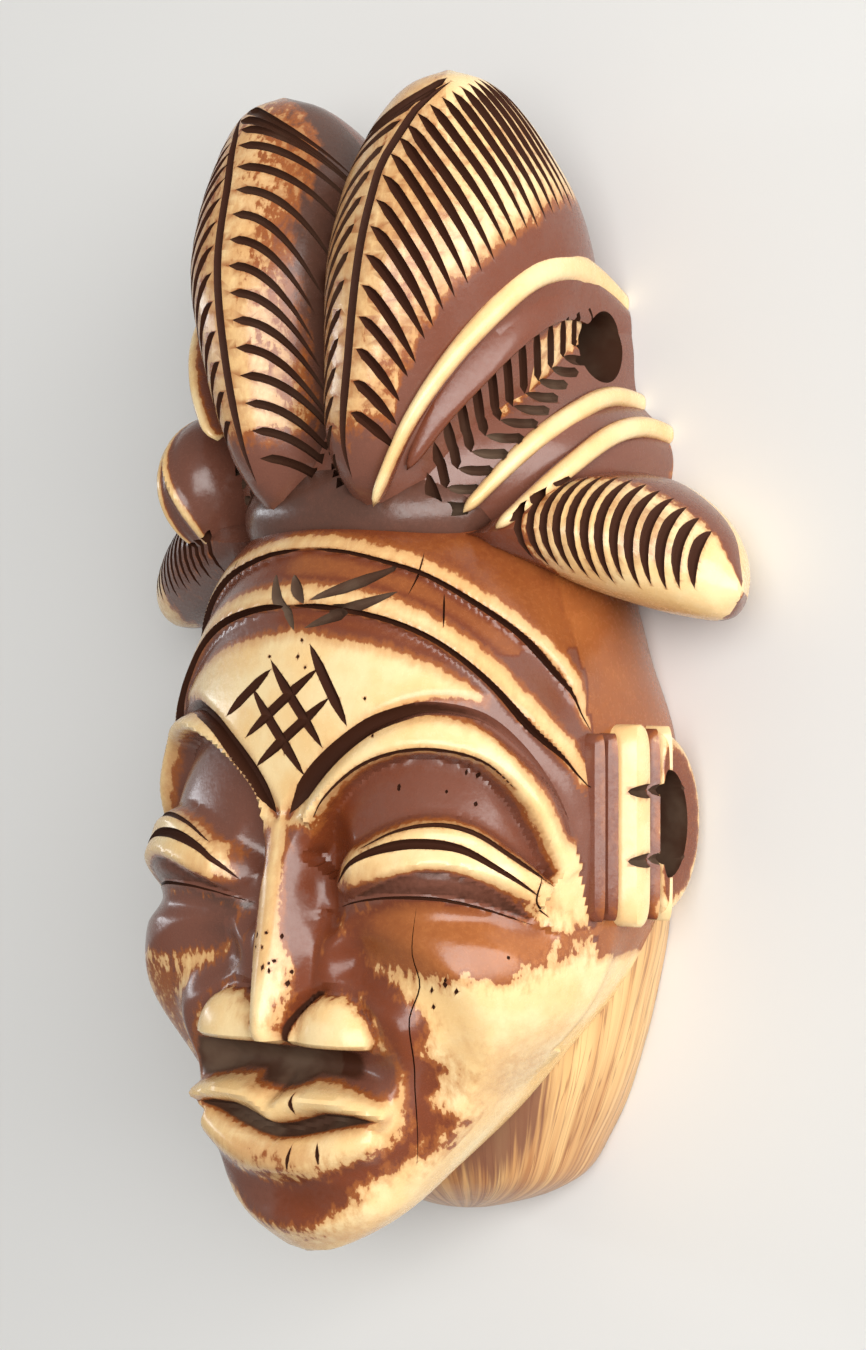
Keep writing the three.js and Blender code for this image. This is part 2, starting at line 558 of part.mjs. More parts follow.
// Grooves part the ear's bars, and two gouges cross them.
function earCuts(side) {
  const line = (from, to, face) => between(from, to, 3, (z, y) => ({
    p: new THREE.Vector3(side * face, y, z),
    n: new THREE.Vector3(side, 0, 0),
  }));
  const gouges = GOUGE_LEVELS.map((level) => cut(line([14.8, level], [3, level], EAR_FACE), 1.7, 0.9));
  return [
    cut(line([BAR_GROOVE, EAR_TOP + 3.4], [BAR_GROOVE, EAR_FOOT - 3], BAR_FACE), 1.1, 0.6),
    cut(line([PLATE_GROOVE, EAR_TOP + 4.4], [PLATE_GROOVE, EAR_FOOT - 5], EAR_FACE), 1.6, 0.7),
    ...gouges,
  ];
}

function cordHole() {
  const bore = new THREE.CylinderGeometry(HOLE_RADIUS, HOLE_RADIUS, HOLE_LENGTH, 20).rotateZ(Math.PI / 2);
  return solid(bore.translate(0, HOLE_LEVEL, HOLE_HEIGHT));
}

// What lies behind the back plane is cut away flat.
function behindBack() {
  return solid(new THREE.BoxGeometry(200, 200, 60).translate(0, 0, -30));
}

// Joins the forms, makes the cuts and gives back one closed geometry.
function carve() {
  let whole = head().add(neck()).add(fan()).add(farRoll());
  for (const side of [1, -1]) {
    for (const piece of [tallCoil(side), ...cords(side), scoop(side), ear(side)]) whole = whole.add(piece);
  }
  const cuts = [...faceCuts(), cordHole(), behindBack()];
  for (const side of [1, -1]) {
    cuts.push(...coilCuts(side), ...herringbone(side), ...scoopCuts(side), ...earCuts(side));
  }
  for (const piece of cuts) whole = whole.subtract(piece);
  const mesh = whole.getMesh();
  const geometry = new THREE.BufferGeometry();
  geometry.setAttribute('position', new THREE.BufferAttribute(new Float32Array(mesh.vertProperties), 3));
  geometry.setIndex(new THREE.BufferAttribute(new Uint32Array(mesh.triVerts), 1));
  return geometry;
}

const BONE = new THREE.MeshStandardMaterial({ color: 0xe8c98e, roughness: 0.32, metalness: 0 });
const miniature = new THREE.Mesh(carve(), BONE);
miniature.name = 'miniature_mask';

const mask = new THREE.Group();
mask.add(miniature);
export default mask;
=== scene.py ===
import json
import math

import bmesh
import bpy
import numpy as np
from mathutils import Matrix, Vector

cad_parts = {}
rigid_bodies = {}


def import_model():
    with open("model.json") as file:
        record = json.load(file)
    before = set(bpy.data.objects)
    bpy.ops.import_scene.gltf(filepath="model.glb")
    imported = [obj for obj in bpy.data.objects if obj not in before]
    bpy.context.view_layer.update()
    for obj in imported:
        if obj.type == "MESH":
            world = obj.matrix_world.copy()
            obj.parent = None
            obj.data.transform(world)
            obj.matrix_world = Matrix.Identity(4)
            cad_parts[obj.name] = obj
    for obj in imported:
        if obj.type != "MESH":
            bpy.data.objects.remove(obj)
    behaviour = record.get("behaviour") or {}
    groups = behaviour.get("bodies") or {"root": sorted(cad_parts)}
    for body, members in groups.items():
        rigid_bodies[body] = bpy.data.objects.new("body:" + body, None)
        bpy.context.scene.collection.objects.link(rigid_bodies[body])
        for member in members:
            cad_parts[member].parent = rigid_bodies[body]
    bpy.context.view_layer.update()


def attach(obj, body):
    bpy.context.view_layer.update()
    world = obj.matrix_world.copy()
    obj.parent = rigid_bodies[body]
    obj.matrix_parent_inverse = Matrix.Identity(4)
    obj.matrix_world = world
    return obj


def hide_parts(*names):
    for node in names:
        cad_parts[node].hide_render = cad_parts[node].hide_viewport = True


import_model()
scene = bpy.context.scene

# Camera. It looks down on the mask as it lies, from the near side of the face, at arm's length
# through a long lens. The chin points down the picture.
YAW = math.radians(36.5)
CAMERA_DISTANCE = 0.230
LENS = 70.53
AIM_SHIFT = 0.0049
AIM_LEVEL = -0.0013
AIM_HEIGHT = 0.017
aim = Vector((AIM_SHIFT * math.cos(YAW), AIM_LEVEL, AIM_HEIGHT - AIM_SHIFT * math.sin(YAW)))
sight = Vector((math.sin(YAW), 0, math.cos(YAW)))
camera_data = bpy.data.cameras.new("camera")
camera_data.lens = LENS
camera_data.clip_start = 0.01
camera = bpy.data.objects.new("camera", camera_data)
camera.location = aim + sight * CAMERA_DISTANCE
camera.rotation_euler = (0, YAW, 0)
scene.collection.objects.link(camera)
scene.camera = camera
scene.view_settings.view_transform = "Standard"

# Floor. A wide sheet of matt pale grey card, with the faint mottle that such card has.
FLOOR_HALF = 2.5
FLOOR_DROP = 0.00005
MOTTLE_SCALE = 6


def plug(tree, node, inputs):
    """Set the inputs of a node to values, or wire them to the outputs of other nodes."""
    for name, value in inputs.items():
        if isinstance(value, bpy.types.NodeSocket):
            tree.links.new(value, node.inputs[name])
        else:
            node.inputs[name].default_value = value


def add_node(tree, kind, inputs):
    node = tree.nodes.new("ShaderNode" + kind)
    plug(tree, node, inputs)
    return node


card = bmesh.new()
bmesh.ops.create_grid(card, x_segments=1, y_segments=1, size=FLOOR_HALF)
bmesh.ops.translate(card, verts=card.verts, vec=(0, 0, -FLOOR_DROP))
floor_mesh = bpy.data.meshes.new("floor")
card.to_mesh(floor_mesh)
card.free()
floor = bpy.data.objects.new("floor", floor_mesh)
scene.collection.objects.link(floor)
pale_card = bpy.data.materials.new("pale_card")
pale_card.use_nodes = True
card_tree = pale_card.node_tree
card_place = add_node(card_tree, "TexCoord", {}).outputs["Object"]
mottle = add_node(card_tree, "TexNoise", {"Vector": card_place, "Scale": MOTTLE_SCALE})
greys = add_node(card_tree, "ValToRGB", {"Fac": mottle.outputs["Fac"]})
greys.color_ramp.elements[0].color = (0.72, 0.72, 0.71, 1)
greys.color_ramp.elements[1].color = (0.76, 0.765, 0.765, 1)
plug(card_tree, card_tree.nodes["Principled BSDF"],
     {"Base Color": greys.outputs["Color"], "Roughness": 0.9, "Specular IOR Level": 0.1})
floor_mesh.materials.append(pale_card)

# Light. A tall window near on the right, a softer one overhead, a dim cool one on the left, and
# pale walls all round. Each window has its place, its size, its power and its colour.
WINDOWS = {
    "right_window": ((0.50, 0.10, 0.20), (0.36, 0.60), 3.5, (1.0, 0.975, 0.94)),
    "upper_window": ((0.30, 0.06, 0.62), (0.36, 0.36), 2.4, (1.0, 0.985, 0.96)),
    "left_window": ((-0.70, 0.10, 0.16), (0.06, 0.50), 0.7, (0.90, 0.95, 1.0)),
}
for name, (place, size, power, colour) in WINDOWS.items():
    light = bpy.data.lights.new(name, "AREA")
    light.shape = "RECTANGLE"
    light.size, light.size_y = size
    light.energy = power
    light.color = colour
    window = bpy.data.objects.new(name, light)
    window.location = place
    window.rotation_euler = Vector(place).to_track_quat("Z", "Y").to_euler()
    scene.collection.objects.link(window)
walls = bpy.data.worlds.new("pale_walls")
walls.use_nodes = True
sky = walls.node_tree.nodes["Background"]
plug(walls.node_tree, sky, {"Color": (1.0, 0.985, 0.955, 1), "Strength": 0.31})
scene.world = walls

# Head. One block of dense, polished bone-like stuff, rounded to a long face. All the carving is
# measured in millimetres, and becomes metres once the pieces are joined.
MM = 0.001
CHIN = -49.7
HEAD_TOP = 16
HEAD_ENDS = 14


def through(knots):
    """A smooth curve through [place, size] knots, for an array of places."""
    at, size = np.array(knots, float).T
    index = np.arange(len(at))
    before = np.maximum(index - 1, 0)
    after = np.minimum(index + 1, len(at) - 1)
    slope = (size[after] - size[before]) / (at[after] - at[before])

    def curve(t):
        i = np.clip(np.searchsorted(at, t, side="right") - 1, 0, len(at) - 2)
        span = at[i + 1] - at[i]
        s = np.clip((t - at[i]) / span, 0, 1)
        rise = size[i + 1] - size[i]
        bend = (1 - s) * (slope[i] * span - rise) - s * (slope[i + 1] * span - rise)
        return size[i] + rise * s + s * (1 - s) * bend

    return curve


head_width = through([
    (-49.7, 6), (-47, 8), (-43, 10.5), (-38, 14), (-33, 17), (-28, 19.6), (-22, 21.4), (-14, 22),
    (-7, 21.5), (0, 20.2), (6, 18.6), (12, 16), (16, 13.5),
])
head_front = through([
    (-49.7, 27.5), (-47, 30.2), (-43, 30.8), (-38, 30.6), (-33, 30), (-28, 29.8), (-22, 29.8), (-14, 30),
    (-4, 29.6), (2, 28.6), (8, 27), (12, 25), (16, 22),
])
head_middle = through([
    (-49.7, 26.5), (-47, 25), (-43, 23), (-38, 20), (-33, 17.5), (-28, 14.8), (-22, 12.5), (-14, 11),
    (-4, 9.8), (4, 9.5), (12, 9), (16, 8.5),
])
head_squareness = through([
    (-49.7, 2.1), (-38, 2.4), (-30, 2.7), (-22, 2.9), (-12, 2.8), (-4, 2.3), (2, 2.05), (20, 2),
])
back_squareness = through([(-50, 3), (-13, 3), (-7, 2.6), (0, 2), (20, 2)])


def rim(turn, half_width, half_depth, power):
    """Distance from the middle to the rim of a rounded box."""
    across = np.abs(np.cos(turn)) / np.maximum(half_width, 1e-6)
    deep = np.abs(np.sin(turn)) / np.maximum(half_depth, 1e-6)
    return (across ** power + deep ** power) ** (-1 / power)


def bell(gap, half_width):
    """1 on a line, sinking to 0 at half_width from it."""
    return np.maximum(0, 1 - (gap / half_width) ** 2) ** 2


def mound(x, y, half_x, half_y, power=1.5):
    """1 at a point, sinking to 0 at an oval round it."""
    return np.maximum(0, 1 - (x / half_x) ** 2 - (y / half_y) ** 2) ** power


def ease(t):
    """0 up to 0, 1 from 1 on, and a smooth rise between."""
    s = np.clip(t, 0, 1)
    return s * s * (3 - 2 * s)


def head_skin(y, turn):
    """The plain head under the carving."""
    middle = head_middle(y)
    power = np.where(np.sin(turn) > 0, head_squareness(y), back_squareness(y))
    r = rim(turn, head_width(y), head_front(y) - middle, power)
    return np.stack([r * np.cos(turn), y, middle + r * np.sin(turn)], -1)


def on_head(points):
    """Points (x, y) or (x, y, z) laid on the plain head."""
    laid = []
    for x, y, *height in points:
        middle = head_middle(y)
        if height:
            turn = math.atan2(height[0] - middle, x)
        else:
            power = head_squareness(y)
            across = min(abs(x) / head_width(y), 0.97)
            turn = math.atan2((head_front(y) - middle) * (1 - across ** power) ** (1 / power), x)
        laid.append(head_skin(np.float64(y), turn))
    return np.array(laid)


def smooth_run(points, count=44):
    """Evenly spaced stations on a smooth line through points."""
    points = np.asarray(points, float)
    length = np.concatenate([[0], np.cumsum(np.linalg.norm(np.diff(points, axis=0), axis=1))])
    at = np.linspace(0, length[-1], count)
    return np.stack([through(np.stack([length, c], -1))(at) for c in points.T], -1)


def reach(places, stations):
    """The gap from places to a run, above it when positive, and the share of the way along."""
    start, step = stations[:-1], np.diff(stations, axis=0)
    off = places[:, None] - start
    s = np.clip((off * step).sum(-1) / (step ** 2).sum(-1), 0, 1)
    off -= s[..., None] * step
    far = (off ** 2).sum(-1)
    found = far.argmin(1)
    row = np.arange(len(places))
    out = np.stack([places[:, 0], np.zeros(len(places)), places[:, 2] - head_middle(places[:, 1])], -1)
    side = (off[row, found] * np.cross(out, step[found])).sum(-1)
    gap = np.sqrt(far[row, found]) * np.where(side < 0, -1, 1)
    return gap, (found + s[row, found]) / len(step)


def inside(x, y, outline):
    """How far points are inside a closed outline, negative outside it."""
    corner = np.array(outline, float)
    step = np.roll(corner, -1, 0) - corner
    off = np.stack([x, y], -1)[:, None] - corner
    s = np.clip((off * step).sum(-1) / (step ** 2).sum(-1), 0, 1)
    far = np.sqrt(((off - s[..., None] * step) ** 2).sum(-1).min(1))
    next_y = (corner + step)[:, 1]
    crosses = (corner[:, 1] > y[:, None]) != (next_y > y[:, None])
    rise = np.where(step[:, 1] == 0, 1e-9, step[:, 1])
    left = x[:, None] < corner[:, 0] + (y[:, None] - corner[:, 1]) / rise * step[:, 0]
    return np.where((crosses & left).sum(1) % 2 == 1, far, -far)


# Face. Its lines are carved in the block and mirror each other, so they are laid out here on the
# near half, as (x, y) or (x, y, z). The bands of hair show a worn cream edge this deep.
UPPER_DEEP = 0.85
LOWER_DEEP = 1.45
LINES = {
    "band_upper": [
        (0, 10.4), (4, 10), (7.6, 9.1), (10.6, 8), (13.9, 5.8), (16.9, 3), (19.2, -0.4), (20.8, -5, 15),
    ],
    "band_lower": [(0, 6.2), (4, 5.9), (8.8, 4.8), (12.4, 3), (15.8, 0), (18.9, -4), (21.3, -9, 16)],
    "band_foot": [
        (0, 2.3), (4.1, 1.7), (8, 1), (11.3, -0.1), (14.5, -1.9), (17.2, -4.4), (20, -8.6), (21.6, -12, 17),
    ],
    "brow_top": [
        (2.2, -13.2), (3.2, -11.7), (5, -9.6), (7.8, -7.1), (10.8, -5.4), (13.4, -4.8), (16, -5.4),
        (18.4, -7.6), (20.6, -11, 20), (21.8, -15, 18.6),
    ],
    "brow_groove": [
        (0.7, -12.8), (3.9, -8.9), (7.8, -5.7), (10.3, -4.5), (12.9, -3.9), (16.4, -4.7), (18.8, -7),
        (20.6, -10.4, 20), (21.5, -13.4, 18.5),
    ],
    "brow_foot": [
        (2.6, -15.2), (3.2, -13.4), (4.8, -11.2), (7.8, -8.8), (10.9, -7.6), (13.8, -7.4), (17, -8.4),
        (19.3, -11), (20.4, -14.4, 21), (21.3, -18, 19.5),
    ],
    "lid_top": [
        (4.8, -18.4), (5.8, -17), (7.9, -15.5), (11.2, -13.9), (14.4, -13.3), (16.9, -13.9), (19, -15.7),
        (20.8, -18.5, 20.5),
    ],
    "lens_top": [
        (5.4, -20.1), (7.8, -18.8), (9.9, -17.8), (11.9, -17.1), (14.3, -16.8), (16.5, -17.3),
        (18.6, -18.6), (20.3, -20.8, 22),
    ],
    "eye_line": [(4.9, -20.6), (7.6, -19.8), (11.1, -19.3), (14.9, -19.4), (18, -20.3), (20.2, -21.6, 22)],
    "laugh_line": [
        (4.6, -23), (7.6, -24.6), (11.4, -26.2), (13.6, -28.6), (14, -32), (12.6, -37), (9.6, -43),
    ],
    "upper_lip": [(0, -37.2), (2, -36.3), (4.6, -36), (7.4, -36.5), (10.4, -37.5)],
    "lower_lip": [(0, -41.3), (3, -41), (6, -40.1), (9.4, -38.9)],
}
run = {name: smooth_run(on_head(points)) for name, points in LINES.items()}
NOSE_FOOT = -31.8
nose_height = through([(-31.8, 3), (-30.6, 3.6), (-28, 3.5), (-24, 2.7), (-19, 1.7), (-15, 0.5), (-11, 0)])
nose_cream = through([(-32, 1.1), (-29, 1.3), (-26, 1.7), (-22, 1), (-18, 0.7), (-14, 0.6)])
nose_width = through([(-32, 2.4), (-28, 2.9), (-24, 3.5), (-18, 3.1), (-11, 2.3)])

# The stained parts of the face, as outlines on its front. They run past the middle, because the
# far half mirrors the near one.
STAINED = {
    "under_eye": [
        (4.6, -20.6), (11.8, -19.3), (17, -19.8), (20, -21), (21.4, -22.4), (20.6, -24.1), (18, -26),
        (15.7, -25.6), (13.3, -26), (11, -25.2), (8.5, -25), (6.5, -24),
    ],
    "inner_corner": [
        (2.3, -13.6), (5, -12), (6.4, -17.2), (5.2, -18.6), (5, -20.6), (7.4, -22.6), (8.6, -25.4),
        (5, -26), (3.5, -24.6), (3.2, -21), (1.9, -19), (1.8, -16),
    ],
    "fold": [
        (3.6, -23), (7.3, -22), (8.5, -24.8), (10.9, -26.2), (12.2, -28), (13.4, -29.6), (13, -32),
        (14.4, -33.4), (13.6, -35.8), (13.7, -38), (12.2, -40.2), (10.2, -41.8), (8.3, -42.8), (6.6, -45.1),
        (3, -47.5), (-2, -47.9), (-2, -43.3), (0.6, -43.3), (4.1, -42.3), (7.5, -40.6), (9.6, -39.6),
        (11.2, -38), (11.2, -34.2), (9.6, -31.4), (8.8, -29.6), (7.6, -28), (6, -27.4), (4.2, -27.8),
        (2.6, -29.2), (1.5, -31.9), (1, -30.6), (1.4, -28), (2.2, -25.4),
    ],
    "philtrum": [
        (-2, -31.7), (1.8, -31.6), (9, -31.5), (10.8, -31.8), (11.4, -33.6), (10.8, -35.6), (9.2, -35.9),
        (6, -34.9), (3.6, -34.8), (2.2, -35.6), (0.8, -35.9), (-2, -35.9),
    ],
    "slit": [
        (-2, -38.5), (1.6, -38.1), (4.8, -37.1), (7.3, -37), (9.7, -37.5), (7, -38.3), (4.6, -39),
        (2.4, -39.5), (0, -39.8), (-2, -39.6),
    ],
}

# How high each form of the face stands, or how deep it is sunk. A swell has its height, its place
# and its two half sizes, and is a dip when the height is negative.
BAND_HIGH = 0.85
BROW_HIGH = 0.75
BROW_GROOVE_DEEP = 0.45
SOCKET_DEEP = 2.5
SOCKET_RISE = 1.2
LID_HIGH = 0.55
LENS_DEEP = 0.35
EYE_LINE_DEEP = 0.75
EYEBALL = (1.3, 13, -18, 8.5, 3.6)
INNER_EYE = (-1.8, 4.2, -17.6, 3.2, 5.5)
INNER_EYE_FOOT = (-0.5, 3.6, -20.5, 2.4, 4)
WING_PLACE = (5.2, -31.8)
WING_HALF = (3.7, 4.2)
WING_HIGH = 2.3
UNDER_NOSE_DEEP = 2.3
CHEEK = (2.0, 16, -27.5, 8.5, 8.5)
FOLD_DEEP = 1.5
UPPER_LIP_HIGH = 1.6
LOWER_LIP_HIGH = 1.1
LIP_CLEFT_DEEP = 0.5
SLIT_DEEP = 1.3
CHIN_GROOVE = (-1.1, 0, -44.6, 8, 2.6)
CHIN_BALL = (0.7, 0, -47.8, 6, 3)


def lapped(gap, share, deep, long):
    """A band of hair like a lapped board: it rises slowly and drops sharply at its foot."""
    fade = 1 - ease((share - 0.88) * 9)
    return BAND_HIGH * ease((gap + deep + 0.7) / 0.6) * (1 - ease((gap + deep) / long)) * fade


def swell(x, y, shape):
    height, middle_x, middle_y, half_x, half_y = shape
    return height * mound(x - middle_x, y - middle_y, half_x, half_y)


def carve_head(y, turn):
    """The carved skin of the head with its stain and the depth of its cuts."""
    plain = head_skin(y, turn)
    near = plain.copy()
    near[:, 0] = np.abs(near[:, 0])
    x = near[:, 0]
    front = near[:, 2] > head_middle(y) - 2
    # far is the share of a place on the far half. It shifts the brow foot there, and below it cools and
    # darkens the stain as painted shade, since that half is turned from the light.
    far = ease(-plain[:, 0] / 3)
    gap, share = {}, {}
    for name, stations in run.items():
        gap[name], share[name] = reach(near, stations)
    room = {name: inside(x, y, outline) for name, outline in STAINED.items()}

    # Bands of hair, brow and socket.
    out = lapped(gap["band_upper"], share["band_upper"], UPPER_DEEP, 5)
    out += lapped(gap["band_lower"], share["band_lower"], LOWER_DEEP, 4.8)
    gap["brow_foot"] = gap["brow_foot"] - 1.4 * far * (1 - ease((share["brow_foot"] - 0.6) * 4))
    channel = 0.45 + 1.25 * ease((share["brow_groove"] - 0.3) * 1.8)
    out -= BROW_GROOVE_DEEP * bell(gap["brow_groove"], channel + 0.6)
    brow_room = np.minimum(-gap["brow_top"], gap["brow_foot"])
    in_brow = ease((brow_room + 0.5) / 1.1) * (share["brow_top"] > 0) * (share["brow_foot"] < 1)
    out += BROW_HIGH * in_brow * (1 - 0.5 * ease((share["brow_top"] - 0.8) * 5))
    below_brow, above_lid = -gap["brow_foot"], gap["lid_top"]
    beside_lid = (share["lid_top"] > 0) & (share["lid_top"] < 1)
    beside_eye = beside_lid & (share["brow_foot"] < 1)
    socket = np.where(beside_eye, np.minimum(below_brow, above_lid), -1)
    way_down = np.clip(below_brow / np.maximum(below_brow + above_lid, 0.1), 0, 1)
    out -= ease(socket / 0.9) * (SOCKET_DEEP - SOCKET_RISE * way_down)

    # Eye: the lid, the ball, the flat lens under the lid and the closed line of the eye.
    lid = np.minimum(-gap["lid_top"] + 0.2, gap["lens_top"] + 0.2)
    out += LID_HIGH * ease(lid / 0.8) * beside_lid
    out += swell(x, y, EYEBALL)
    lens = np.minimum(-gap["lens_top"], gap["eye_line"])
    lens = np.where(share["lens_top"] * (1 - share["lens_top"]) > 0, lens, -1)
    out -= LENS_DEEP * ease((lens + 0.1) / 0.5)
    out -= EYE_LINE_DEEP * bell(gap["eye_line"] + 0.7, 2.4)
    out += swell(x, y, INNER_EYE)
    out += swell(x, y, INNER_EYE_FOOT)

    # Nose, cheek, lips and chin.
    out += nose_height(y) * bell(x, nose_width(y)) * ease(y - NOSE_FOOT + 0.5)
    wing = np.sqrt(((x - WING_PLACE[0]) / WING_HALF[0]) ** 2 + ((y - WING_PLACE[1]) / WING_HALF[1]) ** 2)
    above_foot = ease((y - NOSE_FOOT + 0.35) / 0.5)
    beside_nose = ease((5.6 - x) / 2.6)
    out += WING_HIGH * np.maximum(0, 1 - wing ** 2) ** 0.5 * above_foot
    out -= (0.4 + 0.3 * beside_nose) * bell(wing - 1.1, 0.18) * above_foot
    out -= UNDER_NOSE_DEEP * bell(y + 33.6, 2.4) * (1 - ease((x - 7.5) / 4))
    out += swell(x, y, CHEEK)
    fold_end = 1 - 0.6 * ease((share["laugh_line"] - 0.6) * 3)
    out -= FOLD_DEEP * bell(gap["laugh_line"], 3.6) * ease(share["laugh_line"] * 8) * fold_end
    out += UPPER_LIP_HIGH * bell(gap["upper_lip"], 1.6) * (1 - ease((share["upper_lip"] - 0.85) * 6))
    out -= LIP_CLEFT_DEEP * bell(x, 1.1) * bell(y + 35.6, 1.6)
    out += LOWER_LIP_HIGH * bell(gap["lower_lip"], 2.3) * (1 - ease((share["lower_lip"] - 0.85) * 6))
    out += swell(x, y, CHIN_GROOVE)
    out += swell(x, y, CHIN_BALL)
    out -= SLIT_DEEP * ease((room["slit"] + 0.25) / 0.9)
    out = np.where(front, out, 0)

    # Stain: how far each place is inside the brown parts, and how warm the brown is.
    behind = (plain[:, 2] < 15) | ~front
    between_bands = np.minimum(-gap["band_upper"] - UPPER_DEEP, gap["band_lower"] + 0.05)
    below_bands = np.minimum(-gap["band_lower"] - LOWER_DEEP, gap["band_foot"])
    beside_brow = np.where(gap["band_foot"] < 0.5, np.minimum(x - 16, gap["brow_top"]), -1)
    in_channel = channel - np.abs(gap["brow_groove"])
    eye_line_band = np.where(share["eye_line"] < 0.93, 1.7 - np.abs(gap["eye_line"] - 0.3), -1)
    brown = np.maximum.reduce([gap["band_upper"], between_bands, below_bands, beside_brow, in_channel,
                               socket - 0.1, 2.5 * lens - 0.1, eye_line_band])
    brown = np.where(behind, np.minimum(y + 25, 2) - 2.4 * mound(x - 14, y + 27, 9, 4), brown)
    warm = np.where(gap["band_upper"] > 0.3, 0.5 - 0.5 * ease((y - 9) / 4), 0.1)
    warm += 0.5 * ease((between_bands - 0.3) / 1.2) + 0.25 * ease((below_bands - 0.3) / 1.2)
    # Painted shade: the upper far half is cooled towards umber.
    warm = np.where(behind, 0.7, warm) - 0.35 * far * (y > -12)
    warm = np.where((y < -3 + 0.2 * x) & ~behind, -0.05, warm)
    # Painted shade: the far socket is cooled too.
    warm = np.where(socket > 0, 0.4 * ease((8 - x) / 4) - 0.5 * far, warm)
    ragged = np.zeros(len(y))
    dusty = np.zeros(len(y))
    facing_up = front & (np.abs(turn - np.pi / 2) < 1.5)
    # The far terms of these tints are painted shade: the far under-eye, inner corner and fold go cooler and
    # darker.
    under_eye = 0.3 + 0.55 * ease((x - 7) / 7) - 0.35 * bell(gap["eye_line"], 1.6) - 0.9 * far
    philtrum = -0.85 + 0.8 * ease((plain[:, 0] - 5) / 5)
    for name, tint, worn in (("under_eye", under_eye, 0.45), ("inner_corner", 0.25 - 0.5 * far, 0.2),
                             ("fold", 0.2 - 0.4 * far, 0.35), ("philtrum", philtrum, 0), ("slit", -0.9, 0)):
        within = np.where(facing_up, room[name], -9)
        warm = np.where(within > 0, tint, warm)
        ragged = np.where(within > -1.2, worn, ragged)
        dusty = np.where(within > 0, 0.7 * (tint < -0.8), dusty)
        brown = np.maximum(brown, within)
    nose_side = np.minimum((x - nose_cream(y)) * 1.3, 9 * (1.05 - np.abs(y + 23) / 9))
    nose_side = np.where(wing > 1.08, np.minimum(nose_side, 3.6 - x + 0.2 * (y + 31)), -1)
    brown = np.maximum(brown, nose_side)
    # Tan parts of the stain, and two tints of painted shade: the far jaw is browned because it is turned from
    # the light, and the chin, which faces down, gets a warm tan that stands for bounced light in its shade.
    tan_and_shade_tints = {
        "below the lips": 1.4 * mound(x, y + 41.5, 9, 3.6),
        # Painted shade.
        "far jaw": 1.3 * ease((-9 - plain[:, 0]) / 5) * ease((-21 - y) / 3),
        # Painted warm shade.
        "chin": 0.9 * ease((-44 - y) / 4),
        "nose": 0.8 * bell(y + 22, 9) * (x < 4),
        "lid": 0.9 * ease(lid / 0.5) * bell(gap["eye_line"] - 1.5, 2.5),
        "jaw": 0.7 * ease((x - 12) / 5) * ease((-26 - y) / 8),
    }
    tan_and_shade = np.maximum.reduce(list(tan_and_shade_tints.values()))
    brown = np.where(front, np.maximum(brown, tan_and_shade - 1.1), brown)

    # The deep places that hold the dark, each with how dark it is.
    darks = {
        "under the nose": (0.8 - 0.55 * ease((plain[:, 0] - 5.5) / 4)) * ease((room["philtrum"] + 0.2) / 1.4),
        "slit": 0.9 * ease((room["slit"] + 0.1) / 0.6),
        "wing": 0.8 * bell(wing - 1.08, 0.1) * above_foot * beside_nose,
        "lens": 0.48 * ease(lens / 0.4),
        "socket": 0.4 * bell(np.minimum(socket - 0.35, 9), 0.5) * (socket > 0),
        "fold": 0.36 * ease(room["fold"] / 1.5),
    }
    cut = np.where(front & (plain[:, 2] > 20), np.maximum.reduce(list(darks.values())), 0)
    radial = np.stack([np.cos(turn), np.zeros(len(y)), np.sin(turn)], -1)
    tones = {"stain": brown, "warmth": warm, "cut": cut, "ragged": ragged, "dusty": dusty}
    return plain + radial * out[:, None], tones


FRONT_SHARE = 0.84
FACE_CROWDING = 0.72
BOX_HALF_WIDTH = 22
BOX_HALF_DEPTH = 19


def column_turn(turn):
    """Columns stand close in the middle of the face and wide apart behind it."""
    u = ((turn + 2.5 * np.pi) % (2 * np.pi)) / np.pi - 1
    s = np.abs(u) / FRONT_SHARE
    quarter = BOX_HALF_WIDTH + BOX_HALF_DEPTH
    in_front = s * (FACE_CROWDING + (1 - FACE_CROWDING) * s)
    d = quarter * np.where(s < 1, in_front, 1 + (s - 1) * FRONT_SHARE / (1 - FRONT_SHARE))
    x = np.minimum(np.minimum(d, BOX_HALF_WIDTH), 2 * quarter - d)
    z = np.clip(quarter - d, -BOX_HALF_DEPTH, BOX_HALF_DEPTH)
    return np.arctan2(z, np.where(u > 0, -x, x))


ROUNDS = 8
forms = bpy.data.collections.new("forms")
rounds = [bpy.data.collections.new(f"round_{i}") for i in range(ROUNDS)]
TONES = ("stain", "warmth", "cut", "raw", "ragged", "dusty", "grain")
HANDS = {"near": 1, "far": -1}


def read_out(items, name, width, kind=np.float32):
    """The values of a mesh's items: one each, or rows of width."""
    values = np.zeros(len(items) * width, kind)
    items.foreach_get(name, values)
    return values.reshape(-1, width).squeeze()


def keep_tone(mesh, tone, domain, values):
    mesh.attributes.new(tone, "FLOAT", domain).data.foreach_set("value", values)


